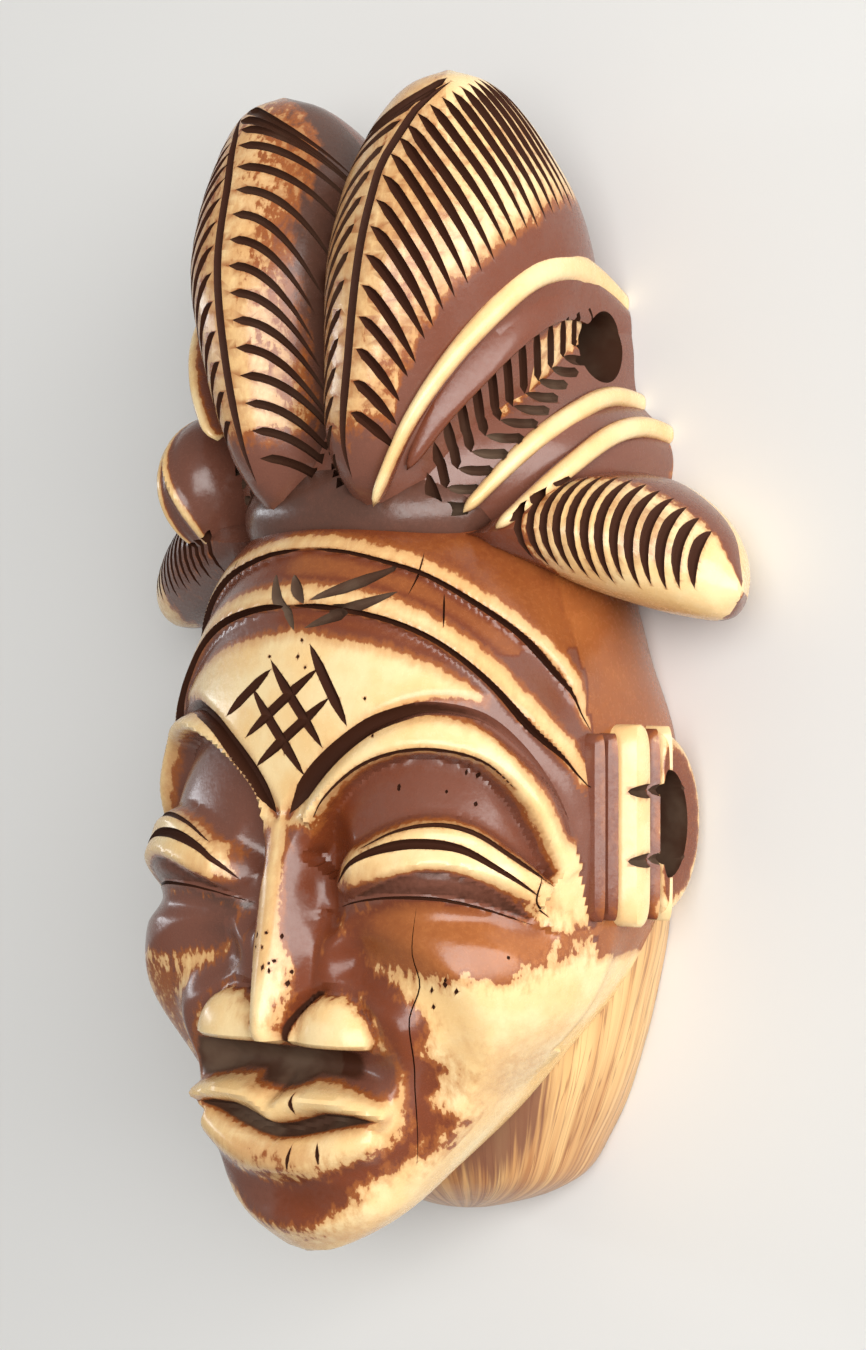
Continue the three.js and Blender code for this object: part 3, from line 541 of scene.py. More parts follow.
def drawn_out(name, group, columns, rows, place):
    """A ball drawn out to a form. place() takes the share of the way from pole to pole and the turn."""
    shape = bmesh.new()
    bmesh.ops.create_uvsphere(shape, u_segments=columns, v_segments=rows, radius=1)
    ball = np.array([vertex.co for vertex in shape.verts])
    rise = np.arccos(np.clip(-ball[:, 2], -1, 1)) / np.pi
    at_pole = (rise < 1e-5) | (rise > 1 - 1e-5)
    rise = np.where(at_pole, np.round(rise), rise)
    places, tones = place(rise, np.where(at_pole, np.pi / 2, np.arctan2(ball[:, 1], ball[:, 0])))
    for vertex, spot in zip(shape.verts, places):
        vertex.co = spot
    if shape.calc_volume(signed=True) < 0:
        bmesh.ops.reverse_faces(shape, faces=shape.faces)
    mesh = bpy.data.meshes.new(name)
    shape.to_mesh(mesh)
    shape.free()
    corners = read_out(mesh.loops, "vertex_index", 1, np.int32)
    for tone in TONES:
        values = np.broadcast_to(tones.get(tone, 0), len(mesh.vertices)).astype(np.float32)
        keep_tone(mesh, tone, "CORNER", values[corners])
    piece = bpy.data.objects.new(name, mesh)
    group.objects.link(piece)
    return piece


def rounded_ends(rise, power):
    """1 for most of the way, rounded down to 0 at both ends."""
    return (1 - np.abs(2 * rise - 1) ** power) ** 0.5


def head_place(rise, turn):
    y = CHIN + (HEAD_TOP - CHIN) * rise
    full = rounded_ends(rise, HEAD_ENDS)
    carved, tones = carve_head(y, column_turn(turn))
    middle = head_middle(y)
    return np.stack([carved[:, 0] * full, y, middle + (carved[:, 2] - middle) * full], -1), tones


head = drawn_out("head", forms, 240, 190, head_place)

# Neck. The raw round of the block behind the jaw, left with its natural skin and only rubbed
# smooth.
NECK_FOOT = -49.5
NECK_TOP = 0
NECK_MIDDLE = 4
NECK_DEEP = 13
NECK_FULL = 16
NECK_WEAR = 0.12
neck_width = through([
    (-49.5, 0), (-49.2, 2.8), (-48.6, 5.2), (-47.4, 8.8), (-45.5, 12), (-42, 14.2), (-38, 16.2),
    (-33.3, 17.9), (-28, 19.3), (-23, 20.4), (-14, 20.8), (-4, 18.8), (0, 17),
])


def neck_place(rise, turn):
    y = NECK_FOOT + (NECK_TOP - NECK_FOOT) * (1 - np.cos(rise * np.pi / 2))
    a = np.where(rise < 1, neck_width(y), 0)
    z = NECK_MIDDLE + np.minimum(1, a / NECK_FULL) * NECK_DEEP * np.sin(turn)
    worn = NECK_WEAR * np.sin(turn * 31 + y * 0.3) * np.sin(turn * 17 - y * 0.21) * np.minimum(1, a / 8)
    degrees = np.degrees(np.abs(turn))
    bruised = np.maximum(mound(y + 38, degrees - 52, 10, 30), mound(y + 23, degrees - 34, 4, 26))
    grain = 18 * turn - 0.42 * y * np.sin(turn)
    spot = np.stack([(a + worn) * np.cos(turn), y, z], -1)
    return spot, {"stain": y + 6, "raw": 1, "grain": grain, "warmth": bruised}


drawn_out("neck", forms, 110, 50, neck_place)

# Tall coils. Two leaf-shaped rolls of dressed hair that lean on each other over the middle, each
# with a rib down its front and flutes raked away from the rib on both sides.
COIL_ROOT = 8
COIL_TOP = 49.7
coil_centre = through([(8, 5), (17, 5.3), (25, 6.6), (33, 7.6), (43, 8.2), (49.7, 9)])
coil_width = through([
    (8, 2), (12, 3.8), (17, 6.4), (25, 8.3), (33, 9.5), (39, 8.8), (43, 7.4), (46.5, 5.5), (48.6, 3.4),
    (49.7, 0.3),
])
coil_front = through([
    (8, 20.5), (12, 24), (14.5, 26.6), (18, 28.6), (25, 29.4), (33, 29.3), (39, 27.8), (43, 26),
    (46.5, 23.8), (48.6, 21.6), (49.7, 19),
])
coil_back = through([
    (8, -6), (25, -2), (33, -0.5), (39, 2.5), (43, 6.4), (46.5, 11), (48.6, 15), (49.7, 18.4),
])
OUTER_FLUTES = 22
INNER_FLUTES = 16
INNER_FLUTE_DROP = 6.8
RIB_HALF = 4.5
OUTER_BEND = (1.1, 0.8)
flute_share = through([(0, 0), (0.55, 0.4), (1, 1)])
rib_turn = through([(16, 90), (40, 89), (43.5, 84), (46.2, 76), (48, 54)])
flute_head_level = through([
    (0, 48.8), (0.1, 48.2), (0.25, 45.9), (0.4, 42.2), (0.55, 37), (0.7, 31.6), (0.85, 26), (1, 20.2),
])
flute_head_turn = through([(0, -14), (0.1, 26), (0.2, 58), (0.3, 79), (0.4, 85), (0.5, 87), (1, 87.5)])
flute_foot_level = through([
    (0, 38.8), (0.1, 37.8), (0.25, 34.6), (0.4, 31), (0.55, 28.2), (0.7, 25), (0.85, 21.6), (1, 17.2),
])
flute_foot_turn = through([
    (0, -34), (0.1, -8), (0.25, 28), (0.4, 50), (0.55, 62), (0.7, 68), (0.85, 73), (1, 75),
])
inner_flute_level = through([(0, 48.4), (0.2, 44.5), (1, 17)])
cream_foot_level = through([
    (-34, 40), (-8, 39), (28, 36), (50, 32.6), (62, 29.8), (68, 26.6), (73, 23.2), (75, 19.4), (90, 16),
])


def unit(vectors):
    return vectors / np.linalg.norm(vectors, axis=-1, keepdims=True)


def coil_skin(y, turn, side):
    """The skin of a coil with the way it faces."""
    a = coil_width(y)
    b = (coil_front(y) - coil_back(y)) / 2
    r = rim(turn, a, b, 2)
    facing = unit(np.stack([side * np.cos(turn) / a ** 2, 0 * y, np.sin(turn) / b ** 2], -1))
    x = coil_centre(y) + r * np.cos(turn)
    return np.stack([side * x, y, coil_front(y) - b + r * np.sin(turn)], -1), facing


PANEL_SPINE = [
    (10.2, 12.6, 22), (10.8, 14.8, 20.9), (11.5, 16.6, 19.8),
    (13.3, 21, 16), (14.7, 25, 11.4), (15.4, 28, 7.2),
]
spine_run = smooth_run(PANEL_SPINE)


def panel_stain(spots):
    """Brown, but worn to cream by handling in a strip above the spine of the raked panel."""
    gap, share = reach(np.abs(spots), spine_run)
    worn = 3.2 * bell(gap - 1.8, 3) * ease((share - 0.35) * 4)
    return np.maximum(1.6 - worn, -0.6)


def along_roll(rise, start, end):
    """Stations on a roll, closer at its ends, and how full it is there."""
    return start + (end - start) * (1 - np.cos(rise * np.pi)) / 2, np.minimum(1, np.sin(rise * np.pi) * 30)


def half_turns(turn):
    """A turn in degrees, from -180 to 180."""
    return np.degrees(np.arctan2(np.sin(turn), np.cos(turn)))


def coil_place(side):
    near = side > 0

    def place(rise, turn):
        y, full = along_roll(rise, COIL_ROOT, COIL_TOP)
        own_turn = turn if near else np.pi - turn
        skin, _ = coil_skin(y, own_turn, side)
        middle = (coil_front(y) + coil_back(y)) / 2
        centre = side * coil_centre(y)
        spot = np.stack([centre + (skin[:, 0] - centre) * full, y, middle + (skin[:, 2] - middle) * full], -1)
        degrees = half_turns(own_turn)
        at_root = (20.5 - y) * 0.5
        outer = np.maximum((cream_foot_level(np.clip(degrees, -34, 90)) - y) * 0.7, at_root)
        inner_edge = (124 if near else 108) - 12 * ease((24 - y) / 10) + 26 * ease((y - 36) / 10)
        inner = (degrees - inner_edge) / 11
        brown = np.where(degrees < 90, outer, np.maximum(inner, at_root))
        brown = np.where(degrees < -40, (-40 - degrees) / 8 + np.maximum(outer, -1), brown)
        # Painted shade: the far coil's outer side is browned, as it is turned from the light.
        brown = np.where((not near) & (degrees < 86), np.maximum(brown, 0.15), brown)
        brown = np.where(degrees < 10, np.minimum(brown, panel_stain(spot)), brown)
        # Painted shade: each coil's inner side darkens to umber, with some of the dark of the cuts, towards
        # the valley where the two coils meet.
        valley = np.where(degrees > 90, ease((degrees - 104) / 18), 0)
        # The far coil's inner side browns towards the valley as painted shade; the near coil browns towards
        # its root.
        tan_and_shade = 0.2 * ease((34 - y) / 8) - 0.1 if near else 0.05 + 0.3 * ease((degrees - 95) / 15)
        brown = np.where(degrees > 60, np.maximum(brown, tan_and_shade), brown)
        warm = 0.1 - 1.1 * valley - 0.5 * ease((26 - y) / 8)
        return spot, {"stain": brown, "warmth": warm, "cut": 0.4 * valley, "ragged": 0.15}

    return place


# Flutes. The locks of the coils are rows of narrow strokes, cut with a V-shaped tool that goes in
# and comes out at a point. They run down and away from a rib on the front of each coil.
LIFT = 0.6

# An inner flute ends at its least turn, and at more from a level on, over so many millimetres.
INNER_END = {"near": (114, 40, 41, 6), "far": (122, 34, 36, 11)}
INNER_BEND = {"near": (1.1, 0.95), "far": (1.9, 0.8)}

# The V of the tool has eight points, each with its place across, its height and its dark.
GROOVE_SECTION = (
    (0, 1, 0.8), (1.45, 1, 0.8), (1, 0, 0.8), (0.55, -0.72, 0.95),
    (0, -1, 1), (-0.55, -0.72, 0.95), (-1, 0, 0.8), (-1.45, 1, 0.8),
)


def groove(name, turn_in, stations, facing, width, depth, lean=0, tips=(0.5, 0.5), dusty=0.0, dark=1.0):
    """A cutter along stations on a skin, in and out over its tips.

    Cuts that cross go in different rounds.
    """
    last = len(stations) - 1
    along = np.gradient(stations, axis=0)
    across = unit(np.cross(along, facing))
    deep_tone = np.full(len(stations), dark, float)

    def place(rise, turn):
        at = np.rint(rise * last).astype(int)
        side = np.rint(turn / (np.pi / 4)).astype(int) % 8
        section = np.array(GROOVE_SECTION)[side]
        full = np.minimum(1, at / last / tips[0]) * np.minimum(1, (1 - at / last) / tips[1])
        full = np.maximum(full, 0) ** 0.6
        height = np.where(section[:, 1] > 0, LIFT, section[:, 1] * depth * full)
        height = np.where(full == 0, 0, height)
        shift = (section[:, 0] + lean * np.maximum(0, -section[:, 1])) * width / 2 * full
        spot = stations[at] + facing[at] * height[:, None] + across[at] * shift[:, None]
        return spot, {"cut": section[:, 2] * deep_tone[at], "stain": 1.5, "warmth": -0.1, "dusty": dusty}

    return drawn_out(name, rounds[turn_in], 8, last, place)


def from_to(start, end, count, bend=(1, 1)):
    """Even steps from start to end. A bend under 1 hurries at the start, and one over 1 lags."""
    share = np.linspace(0, 1, count)
    return [a + (b - a) * share ** power for a, b, power in zip(start, end, bend)]


coil_draft = np.random.default_rng(4)
for hand, side in HANDS.items():
    drawn_out(f"{hand}_coil", forms, 72, 76, coil_place(side))
    y = np.linspace(48, 15, 26)
    skin, facing = coil_skin(y, np.radians(rib_turn(y)), side)
    groove(f"{hand}_rib", 6, skin, facing, 0.9, 0.6, tips=(0.1, 0.2))
    for i in range(OUTER_FLUTES):
        u = flute_share(i / (OUTER_FLUTES - 1))
        shake = coil_draft.uniform(-0.25, 0.25, 3)
        start = (flute_head_level(u), flute_head_turn(u))
        end = (flute_foot_level(u) + shake[0], flute_foot_turn(u) + shake[1])
        y, turn = from_to(start, end, 14, OUTER_BEND)
        skin, facing = coil_skin(y, np.radians(turn), side)
        groove(f"{hand}_outer_flute_{i}", i % 3, skin, facing, 0.85 + 0.3 * shake[2], 0.7, tips=(0.15, 0.45))
    for i in range(INNER_FLUTES):
        level = inner_flute_level(i / (INNER_FLUTES - 1))
        shake = coil_draft.uniform(-0.3, 0.3, 2)
        least, more, from_level, over = INNER_END[hand]
        end_turn = least + more * ease((level - from_level) / over) + 8 * shake[1]
        start = (level, rib_turn(level) + RIB_HALF)
        end = (level - INNER_FLUTE_DROP + shake[0], end_turn)
        y, turn = from_to(start, end, 14, INNER_BEND[hand])
        skin, facing = coil_skin(y, np.radians(turn), side)
        groove(f"{hand}_inner_flute_{i}", 3 + i % 3, skin, facing, 0.75, 0.6, tips=(0.06, 0.6), dusty=0.2)

# Fan. The hair swept up behind the coils, a solid web with smooth raised cords over it and a
# raked panel between them.
FAN_ROOT = 8
FAN_TOP = 38
FAN_SQUARENESS = 2.1
fan_width = through([
    (8, 16), (12, 18.5), (17, 20), (19.9, 19.2), (23, 16.4), (28, 15.8), (31.9, 15), (34.5, 13), (36.5, 10),
    (38, 7),
])
fan_front = through([(8, 23), (12, 24.3), (17, 24), (24, 22), (31, 18.5), (36, 13.5), (38, 9)])
fan_middle = through([(8, 4), (38, 3)])


def fan_place(rise, turn):
    y = FAN_ROOT + (FAN_TOP - FAN_ROOT) * rise
    middle = fan_middle(y)
    r = rim(turn, fan_width(y), fan_front(y) - middle, FAN_SQUARENESS) * rounded_ends(rise, 10)
    spot = np.stack([r * np.cos(turn), y, middle + r * np.sin(turn)], -1)
    return spot, {"stain": panel_stain(spot), "warmth": -0.2, "ragged": 0.5}


drawn_out("fan", forms, 110, 70, fan_place)

# Cords. Smooth raised rolls of hair sweep back over the fan, with a thin ledge under the upper one.
# Each has its route, half its width on the way, half its height, its stain and how far out it
# swings on the far side.
CORD_STEPS = 60
UPPER_CORD = [
    (6.6, 12.6, 26), (9.8, 19, 25.6), (12.6, 24, 24), (15, 28.6, 20.8), (16.2, 32, 16.6), (15.9, 33.4, 11),
    (14.8, 32.9, 5), (13.6, 31, -2),
]
UPPER_LEDGE = [
    (9, 15.6, 24.6), (12, 21.2, 23.2), (14.6, 26.2, 20), (16, 29.7, 15.4), (16, 31, 10), (15.4, 30.2, 4),
    (14.6, 28.4, -2),
]
MIDDLE_CORD = [(12, 12.2, 20.8), (15.4, 17.7, 16.5), (16.7, 21, 11.2), (16.5, 22.8, 5.4), (15.5, 22.6, -2)]
LOWER_CORD = [(15.2, 10.8, 20.6), (18.2, 16, 14.6), (19.2, 19, 9.6), (19.2, 20.1, 4.5), (18.4, 19.6, -2)]
upper_cord_half = through([(0, 0.4), (0.2, 0.65), (0.5, 1.1), (0.7, 1.35), (1, 1)])
ledge_half = through([(0, 0.4), (0.3, 1.8), (1, 2)])
cord_half = through([(0, 0.5), (0.3, 0.85), (1, 0.95)])
CORDS = {
    "upper_cord": (UPPER_CORD, upper_cord_half, 1.2, 0.9, 1.1),
    "upper_ledge": (UPPER_LEDGE, ledge_half, 0.55, 3.5, 1.1),
    "middle_cord": (MIDDLE_CORD, cord_half, 1.1, 0.9, 1.2),
    "lower_cord": (LOWER_CORD, cord_half, 1.1, 0.9, 1.2),
}


def cord_place(route, half_width, half_height, stained, far_reach, side):
    """A cord along its route. The far one starts later and swings further out."""
    near = side > 0
    stations = smooth_run(route if near else route[1:], CORD_STEPS + 1) * [1 if near else -far_reach, 1, 1]
    along = unit(np.gradient(stations, axis=0))
    out = stations * [1, 0, 1] - [0, 0, 3]
    out = unit(out - (out * along).sum(-1, keepdims=True) * along)
    across = np.cross(along, out)

    def place(rise, turn):
        at = np.rint(rise * CORD_STEPS).astype(int)
        full = np.minimum(1, np.sin(np.pi * at / CORD_STEPS) * 8) ** 0.5
        flat = rim(turn, 1, 1, 2.6)
        wide = half_width(at / CORD_STEPS) * np.cos(turn) * flat * full
        high = half_height * np.sin(turn) * flat * full
        spot = stations[at] + across[at] * wide[:, None] + out[at] * high[:, None]
        worn = np.maximum(0, np.sin(turn)) ** 0.7 if near else np.maximum(0, np.sin(turn + 0.4)) ** 5
        # The far cords are cooler and darker, as painted shade.
        return spot, {"stain": stained - 1.9 * worn, "warmth": 0.1 if near else -0.5}

    return place


for name, (route, *shape) in CORDS.items():
    for hand, side in HANDS.items():
        drawn_out(f"{hand}_{name}", forms, 20, CORD_STEPS, cord_place(route, *shape, side))

# Far roll. One more roll of hair swells between the fan and the side coil on the far side, with
# two cords over it. The near side has none in the picture.
FAR_ROLL_MIDDLE = (-18.3, 16, 16.6)
FAR_ROLL_HALF = (4.6, 6.4, 6)
FAR_ROLL_CORDS = ((100, 40, 11), (126, 15, 12))


def egg(wide, rise, turn, half, middle):
    """Places on an egg of three half sizes, wide times as thick."""
    r = wide * np.sin(rise * np.pi)
    return np.stack([r * np.cos(turn), -np.cos(rise * np.pi), r * np.sin(turn)], -1) * half + middle


def far_roll_place(rise, turn):
    cord = np.zeros(len(rise))
    for middle, fall, half in FAR_ROLL_CORDS:
        cord = np.maximum(cord, bell(np.degrees(turn) - middle + fall * np.cos(rise * np.pi), half))
    spot = egg(1 + 0.1 * cord, rise, turn, FAR_ROLL_HALF, FAR_ROLL_MIDDLE)
    # Its cool umber is painted shade, as on the other far parts.
    return spot, {"stain": 1.6 - 2.6 * cord, "warmth": -0.5}


drawn_out("far_roll", forms, 96, 40, far_roll_place)

# Root saddle. The hair sinks to one dark dip where the coils meet the bands over the brow. This
# low mound of the block fills it.
SADDLE_MIDDLE = (0, 12.4, 17.2)
SADDLE_HALF = (13, 6.6, 8.4)


def saddle_place(rise, turn):
    return egg(1, rise, turn, SADDLE_HALF, SADDLE_MIDDLE), {"stain": 1.8, "warmth": -0.9, "cut": 0.4}


drawn_out("root_saddle", forms, 60, 40, saddle_place)

# Raked panels. Between the upper and the middle cord the hair is combed to a herringbone, short
# strokes on both sides of a spine, cut in the fan or in the coil where that stands out further.
CHEVRONS = 13


def panel_skin(points, side):
    """The panel lies on the fan or on the coil, whichever stands out further."""
    x, y, z = np.asarray(points, float).T
    middle = fan_middle(y)
    out = unit(np.stack([x, z - middle], -1))
    a = coil_width(y)
    b = (coil_front(y) - coil_back(y)) / 2
    away = np.stack([-coil_centre(y) / a, (middle - coil_front(y) + b) / b], -1)
    step = out / np.stack([a, b], -1)
    half = (away * step).sum(-1) / (step ** 2).sum(-1)
    under = half ** 2 - ((away ** 2).sum(-1) - 1) / (step ** 2).sum(-1)
    coil = np.sqrt(np.maximum(0, under)) - half
    turn = np.arctan2(out[:, 1], out[:, 0])
    far = np.maximum(coil, rim(turn, fan_width(y), fan_front(y) - middle, FAN_SQUARENESS))
    spot = np.stack([side * far * out[:, 0], y, middle + far * out[:, 1]], -1)
    return spot, np.stack([side * out[:, 0], 0 * y, out[:, 1]], -1)


spine = smooth_run(PANEL_SPINE, CHEVRONS)
upper_stroke = through([(0, 3), (0.25, 5.2), (0.55, 5.2), (0.75, 4), (1, 2.4)])
for hand, side in HANDS.items():
    for i, (x, y, z) in enumerate(spine):
        tall = upper_stroke(i / (CHEVRONS - 1))
        upper = [(x - 0.5, y + tall, z + 0.9), (x - 0.2, y + tall / 2, z + 0.5), (x, y, z)]
        lower = [(x, y + 0.1, z), (x + 0.8, y - 0.1, z - 1.5), (x + 1.3, y, z - 3)]
        for first, stroke, dusty in ((0, upper, 0.2), (2, lower, 0.9)):
            skin, facing = panel_skin(smooth_run(stroke, 9), side)
            groove(f"{hand}_rake_{first}_{i}", first + i % 2, skin, facing, 0.85, 0.7, tips=(0.35, 0.12),
                   dusty=dusty)

# Side coils. A scooped roll of hair over each temple, cut from the same block, with flutes raked
# down its front.
SCOOP_ROOT = 11
SCOOP_TIP = 32
SCOOP_FLUTES = 13
FIRST_SCOOP_FLUTE = 16.8
SCOOP_FLUTE_SPAN = 13.8
scoop_top = through([(11, 11), (14, 13), (18, 15.6), (22, 15.8), (26, 14), (30, 10.5), (32, 6.5)])
scoop_foot = through([(11, 10), (14, 8), (18, 6), (22, 4.6), (26, 3.6), (30, 3.3), (32, 5)])
scoop_front = through([(11, 20), (14, 20.4), (18, 19.6), (22, 18), (26, 15.6), (30, 12.4), (32, 10)])
scoop_back = through([(11, -4), (22, -2), (27, 1), (30, 4.5), (32, 9)])


def scoop_skin(x, turn, side):
    a = (scoop_top(x) - scoop_foot(x)) / 2
    b = (scoop_front(x) - scoop_back(x)) / 2
    r = rim(turn, a, b, 2)
    facing = unit(np.stack([0 * x, np.cos(turn) / a ** 2, np.sin(turn) / b ** 2], -1))
    y = (scoop_top(x) + scoop_foot(x)) / 2 + r * np.cos(turn)
    return np.stack([side * x, y, (scoop_front(x) + scoop_back(x)) / 2 + r * np.sin(turn)], -1), facing


def scoop_place(side):
    def place(rise, turn):
        x, full = along_roll(rise, SCOOP_ROOT, SCOOP_TIP)
        skin, _ = scoop_skin(x, -side * turn, side)
        y = (scoop_top(x) + scoop_foot(x)) / 2
        z = (scoop_front(x) + scoop_back(x)) / 2
        spot = np.stack([side * x, y + (skin[:, 1] - y) * full, z + (skin[:, 2] - z) * full], -1)
        degrees = half_turns(-side * turn)
        top_edge = 62 - 2.4 * (x - 17)
        brown = (top_edge - degrees) / 9
        brown = np.where(degrees < -20, -1, brown)
        brown = np.maximum(brown, (18.4 - x) * 0.8)
        brown = np.where((degrees > 168) | (degrees < -120), 0.9, brown)
        # Painted shade: the far side coil is browned and cooled, as it is turned from the light.
        if side < 0:
            brown = np.maximum(brown, 1.2 - 1.8 * ease((x - 26) / 3))
        return spot, {"stain": brown, "warmth": 0.1 if side > 0 else -0.7, "ragged": 0.3}

    return place


for hand, side in HANDS.items():
    drawn_out(f"{hand}_side_coil", forms, 60, 56, scoop_place(side))
    for i in range(SCOOP_FLUTES):
        u = i / SCOOP_FLUTES
        x = FIRST_SCOOP_FLUTE + SCOOP_FLUTE_SPAN * u
        fanned = (0.7 - u) / 2
        head_turn = 28 + 34 * (1 - u) ** 2
        foot_turn = 104 + 10 * math.sin(u * math.pi) + coil_draft.uniform(-4, 4)
        at, turn = from_to((x - fanned, head_turn), (x + fanned, foot_turn), 12)
        skin, facing = scoop_skin(at, np.radians(turn), side)
        groove(f"{hand}_scoop_flute_{i}", i % 3, skin, facing, 0.65, 0.6, tips=(0.35, 0.3))

# Ears. Each is a row of upright bars with a thick half ring behind them, notched across twice and
# hollowed inside the ring. A bar has its place, half its thickness, its face, its stain and how much
# shorter it is than the ear.
EAR_TOP = -5.8
EAR_FOOT = -22
EAR_MIDDLE = (EAR_TOP + EAR_FOOT) / 2
EAR_HALF = (EAR_TOP - EAR_FOOT) / 2
EAR_ROOT = 17
PLATE_FACE = 23.8
BARS = {
    "front_bar": (15.6, 0.95, 22.7, 1.4, 0.3),
    "second_bar": (13.9, 1.05, 22.9, 1.4, 0.3),
    "plate": (11.2, 2.05, PLATE_FACE, -1.2, -0.4),
    "stripe": (8.3, 0.95, 23.5, 1.4, 0.0),
    "strip": (6.7, 0.8, 23.75, -0.9, -0.2),
}
RING_CENTRE = 7
RING_DEEP = 5.9
RING_FACE = 23.5
HOLLOW_DEEP = 3
HOLLOW_TALL = 4.5
HOLLOW_ROOT = 19.6
HOLLOW_FACE = 25.5
GOUGES = {"upper_gouge": -11, "lower_gouge": -16.8}
GOUGE_START = 14.9
GOUGE_END = 4.2


def bar_place(centre, half, face, stained, shorter, side):
    def place(rise, turn):
        tall = EAR_HALF - shorter
        y = EAR_MIDDLE - tall * np.cos(rise * np.pi)
        full = rounded_ends((y - EAR_MIDDLE) / tall / 2 + 0.5, 9)
        r = rim(turn, (face - EAR_ROOT) / 2, half, 3)
        x = (face + EAR_ROOT) / 2 + r * np.cos(turn) * (0.85 + 0.15 * full) * np.where(full > 0, 1, 0)
        z = centre + r * np.sin(turn) * full
        return np.stack([side * x, y, z], -1), {"stain": stained, "warmth": 0.1}

    return place


def ring_place(deep, tall, root, face, side, **tones):
    """A disc on the side of the head, rounded at its rim. The row of bars hides its front half."""
    from_axis = through([(0, 0), (0.15, 1), (0.4, 1), (0.5, 0.95), (0.6, 0.82), (1, 0)])
    outward = through([(0, 0), (0.15, 0), (0.4, 0.8), (0.5, 0.94), (0.6, 1), (1, 1)])

    def place(rise, turn):
        share = from_axis(rise)
        y = EAR_MIDDLE + tall * share * np.sin(turn)
        z = RING_CENTRE + np.where(np.cos(turn) > 0, 1, deep) * share * np.cos(turn)
        x = root + (face - root) * outward(rise)
        worn_rim = 1.6 - 2.2 * ease((share - 0.7) * 4)
        return np.stack([side * x, y, z], -1), {"stain": worn_rim, **tones}

    return place


for hand, side in HANDS.items():
    for name, shape in BARS.items():
        drawn_out(f"{hand}_ear_{name}", forms, 20, 30, bar_place(*shape, side))
    ring = ring_place(RING_DEEP, EAR_HALF - 0.3, EAR_ROOT, RING_FACE, side, warmth=0.3, ragged=0.5)
    drawn_out(f"{hand}_ear_ring", forms, 56, 24, ring)
    hole = ring_place(HOLLOW_DEEP, HOLLOW_TALL, HOLLOW_ROOT, HOLLOW_FACE, side, stain=1.5, cut=0.8, dusty=0.6)
    drawn_out(f"{hand}_ear_hollow", rounds[0], 36, 14, hole)
    for name, level in GOUGES.items():
        z, y = from_to((GOUGE_START, level), (GOUGE_END, level), 14)
        skin = np.stack([np.full(14, side * PLATE_FACE), y, z], -1)
        facing = np.tile([side, 0.0, 0.0], (14, 1))
        groove(f"{hand}_{name}", 3, skin, facing, 1.3, 1.1, tips=(0.4, 0.1), dusty=0.8, dark=0.9)

# Face cuts. The last narrow strokes of the tool: under each band of hair, along brows and lids, the
# net between the brows with a sprig above it, and the nicks of the lips. Cracks and pits come
# with age.
LID_GROOVE = [
    (5.4, -18.6), (7.4, -16.5), (10, -15.3), (12.9, -14.8), (16, -15.2), (18.3, -16.9), (20, -19.2, 22),
]
NET = [
    ((-3.8, -2.3), (2.4, -9.6)), ((-2, 0), (4.2, -7.3)), ((2, 1.3), (6.4, -5.5)),
    ((-1.8, -0.8), (-6.8, -4.8)), ((3.2, -0.7), (-4.2, -6.6)), ((4.6, -3.1), (-2.9, -9)),
]
SPRIG = [
    ((-2.8, 7.4), (0.2, 2.4)), ((-0.6, 7.2), (1.4, 4.6)), ((8.8, 7.8), (1.8, 4.9)), ((9, 5.6), (1.2, 2.6)),
]
LIP_NICKS = [((2.1, -39.9), (1.7, -42.2)), ((4.4, -39.5), (4.5, -41.4)), ((2.3, -35.6), (2.2, -37.4))]
CHEEK_CRACK = [
    (12.9, -19.8), (12.4, -23.6), (12.9, -26.4), (11.9, -29.4), (12.2, -34), (11.9, -38.6), (12.1, -42.6),
]
CRACKS = [
    (CHEEK_CRACK, 0.12), ([(9.8, 10.6), (10.1, 7.4), (9.7, 5.2)], 0.2), ([(12.1, 5.4), (12.5, 2.6)], 0.18),
    ([(20.4, -17.4), (20.1, -19.6), (20.6, -21)], 0.18), ([(-8.8, 9.6), (-8.6, 5.8)], 0.2),
]
PITTED = [(0.4, -23.6, 1.6, 3.2, 12), (4.5, -3, 7, 5, 7), (17, -25.5, 3.5, 3, 6), (14, -10, 4, 2, 6)]


def head_groove(name, turn_in, points, side, width, depth, count=30, **shape):
    """A cut along points of the face, laid on its carved skin."""
    stations = smooth_run(on_head(points), count)
    turn = np.arctan2(stations[:, 2] - head_middle(stations[:, 1]), stations[:, 0])
    carved, _ = carve_head(stations[:, 1], turn)
    facing = np.stack([np.cos(turn), 0 * turn, np.sin(turn)], -1)
    return groove(name, turn_in, carved * [side, 1, 1], facing * [side, 1, 1], width, depth, **shape)


def lowered(points, drop):
    return [(x, y - drop, *height) for x, y, *height in points]


BAND_CUT = dict(count=40, lean=-0.5, tips=(0.08, 0.3))
BROW_CUT = dict(count=40, lean=0.4, tips=(0.08, 0.85), dark=np.linspace(1.1, 0, 40).clip(0.25, 0.9))
FACE_CUTS = {
    "upper_band_cut": (lowered(LINES["band_upper"], UPPER_DEEP + 0.3), 0.5, 0.55, BAND_CUT),
    "lower_band_cut": (lowered(LINES["band_lower"], LOWER_DEEP + 0.3), 0.55, 0.6, BAND_CUT),
    "brow_cut": (LINES["brow_groove"], 1.3, 0.75, BROW_CUT),
    "brow_edge": (LINES["brow_foot"][1:8], 0.35, 0.3, dict(tips=(0.4, 0.3), dark=0.8)),
    "lid_edge": (LINES["lid_top"][2:], 0.5, 0.35, dict(tips=(0.6, 0.2), dark=0.9)),
    "lid_cut": (LID_GROOVE, 0.8, 0.55, dict(tips=(0.35, 0.5))),
    "eye_cut": (LINES["eye_line"], 0.35, 0.3, dict(dark=0.8)),
}
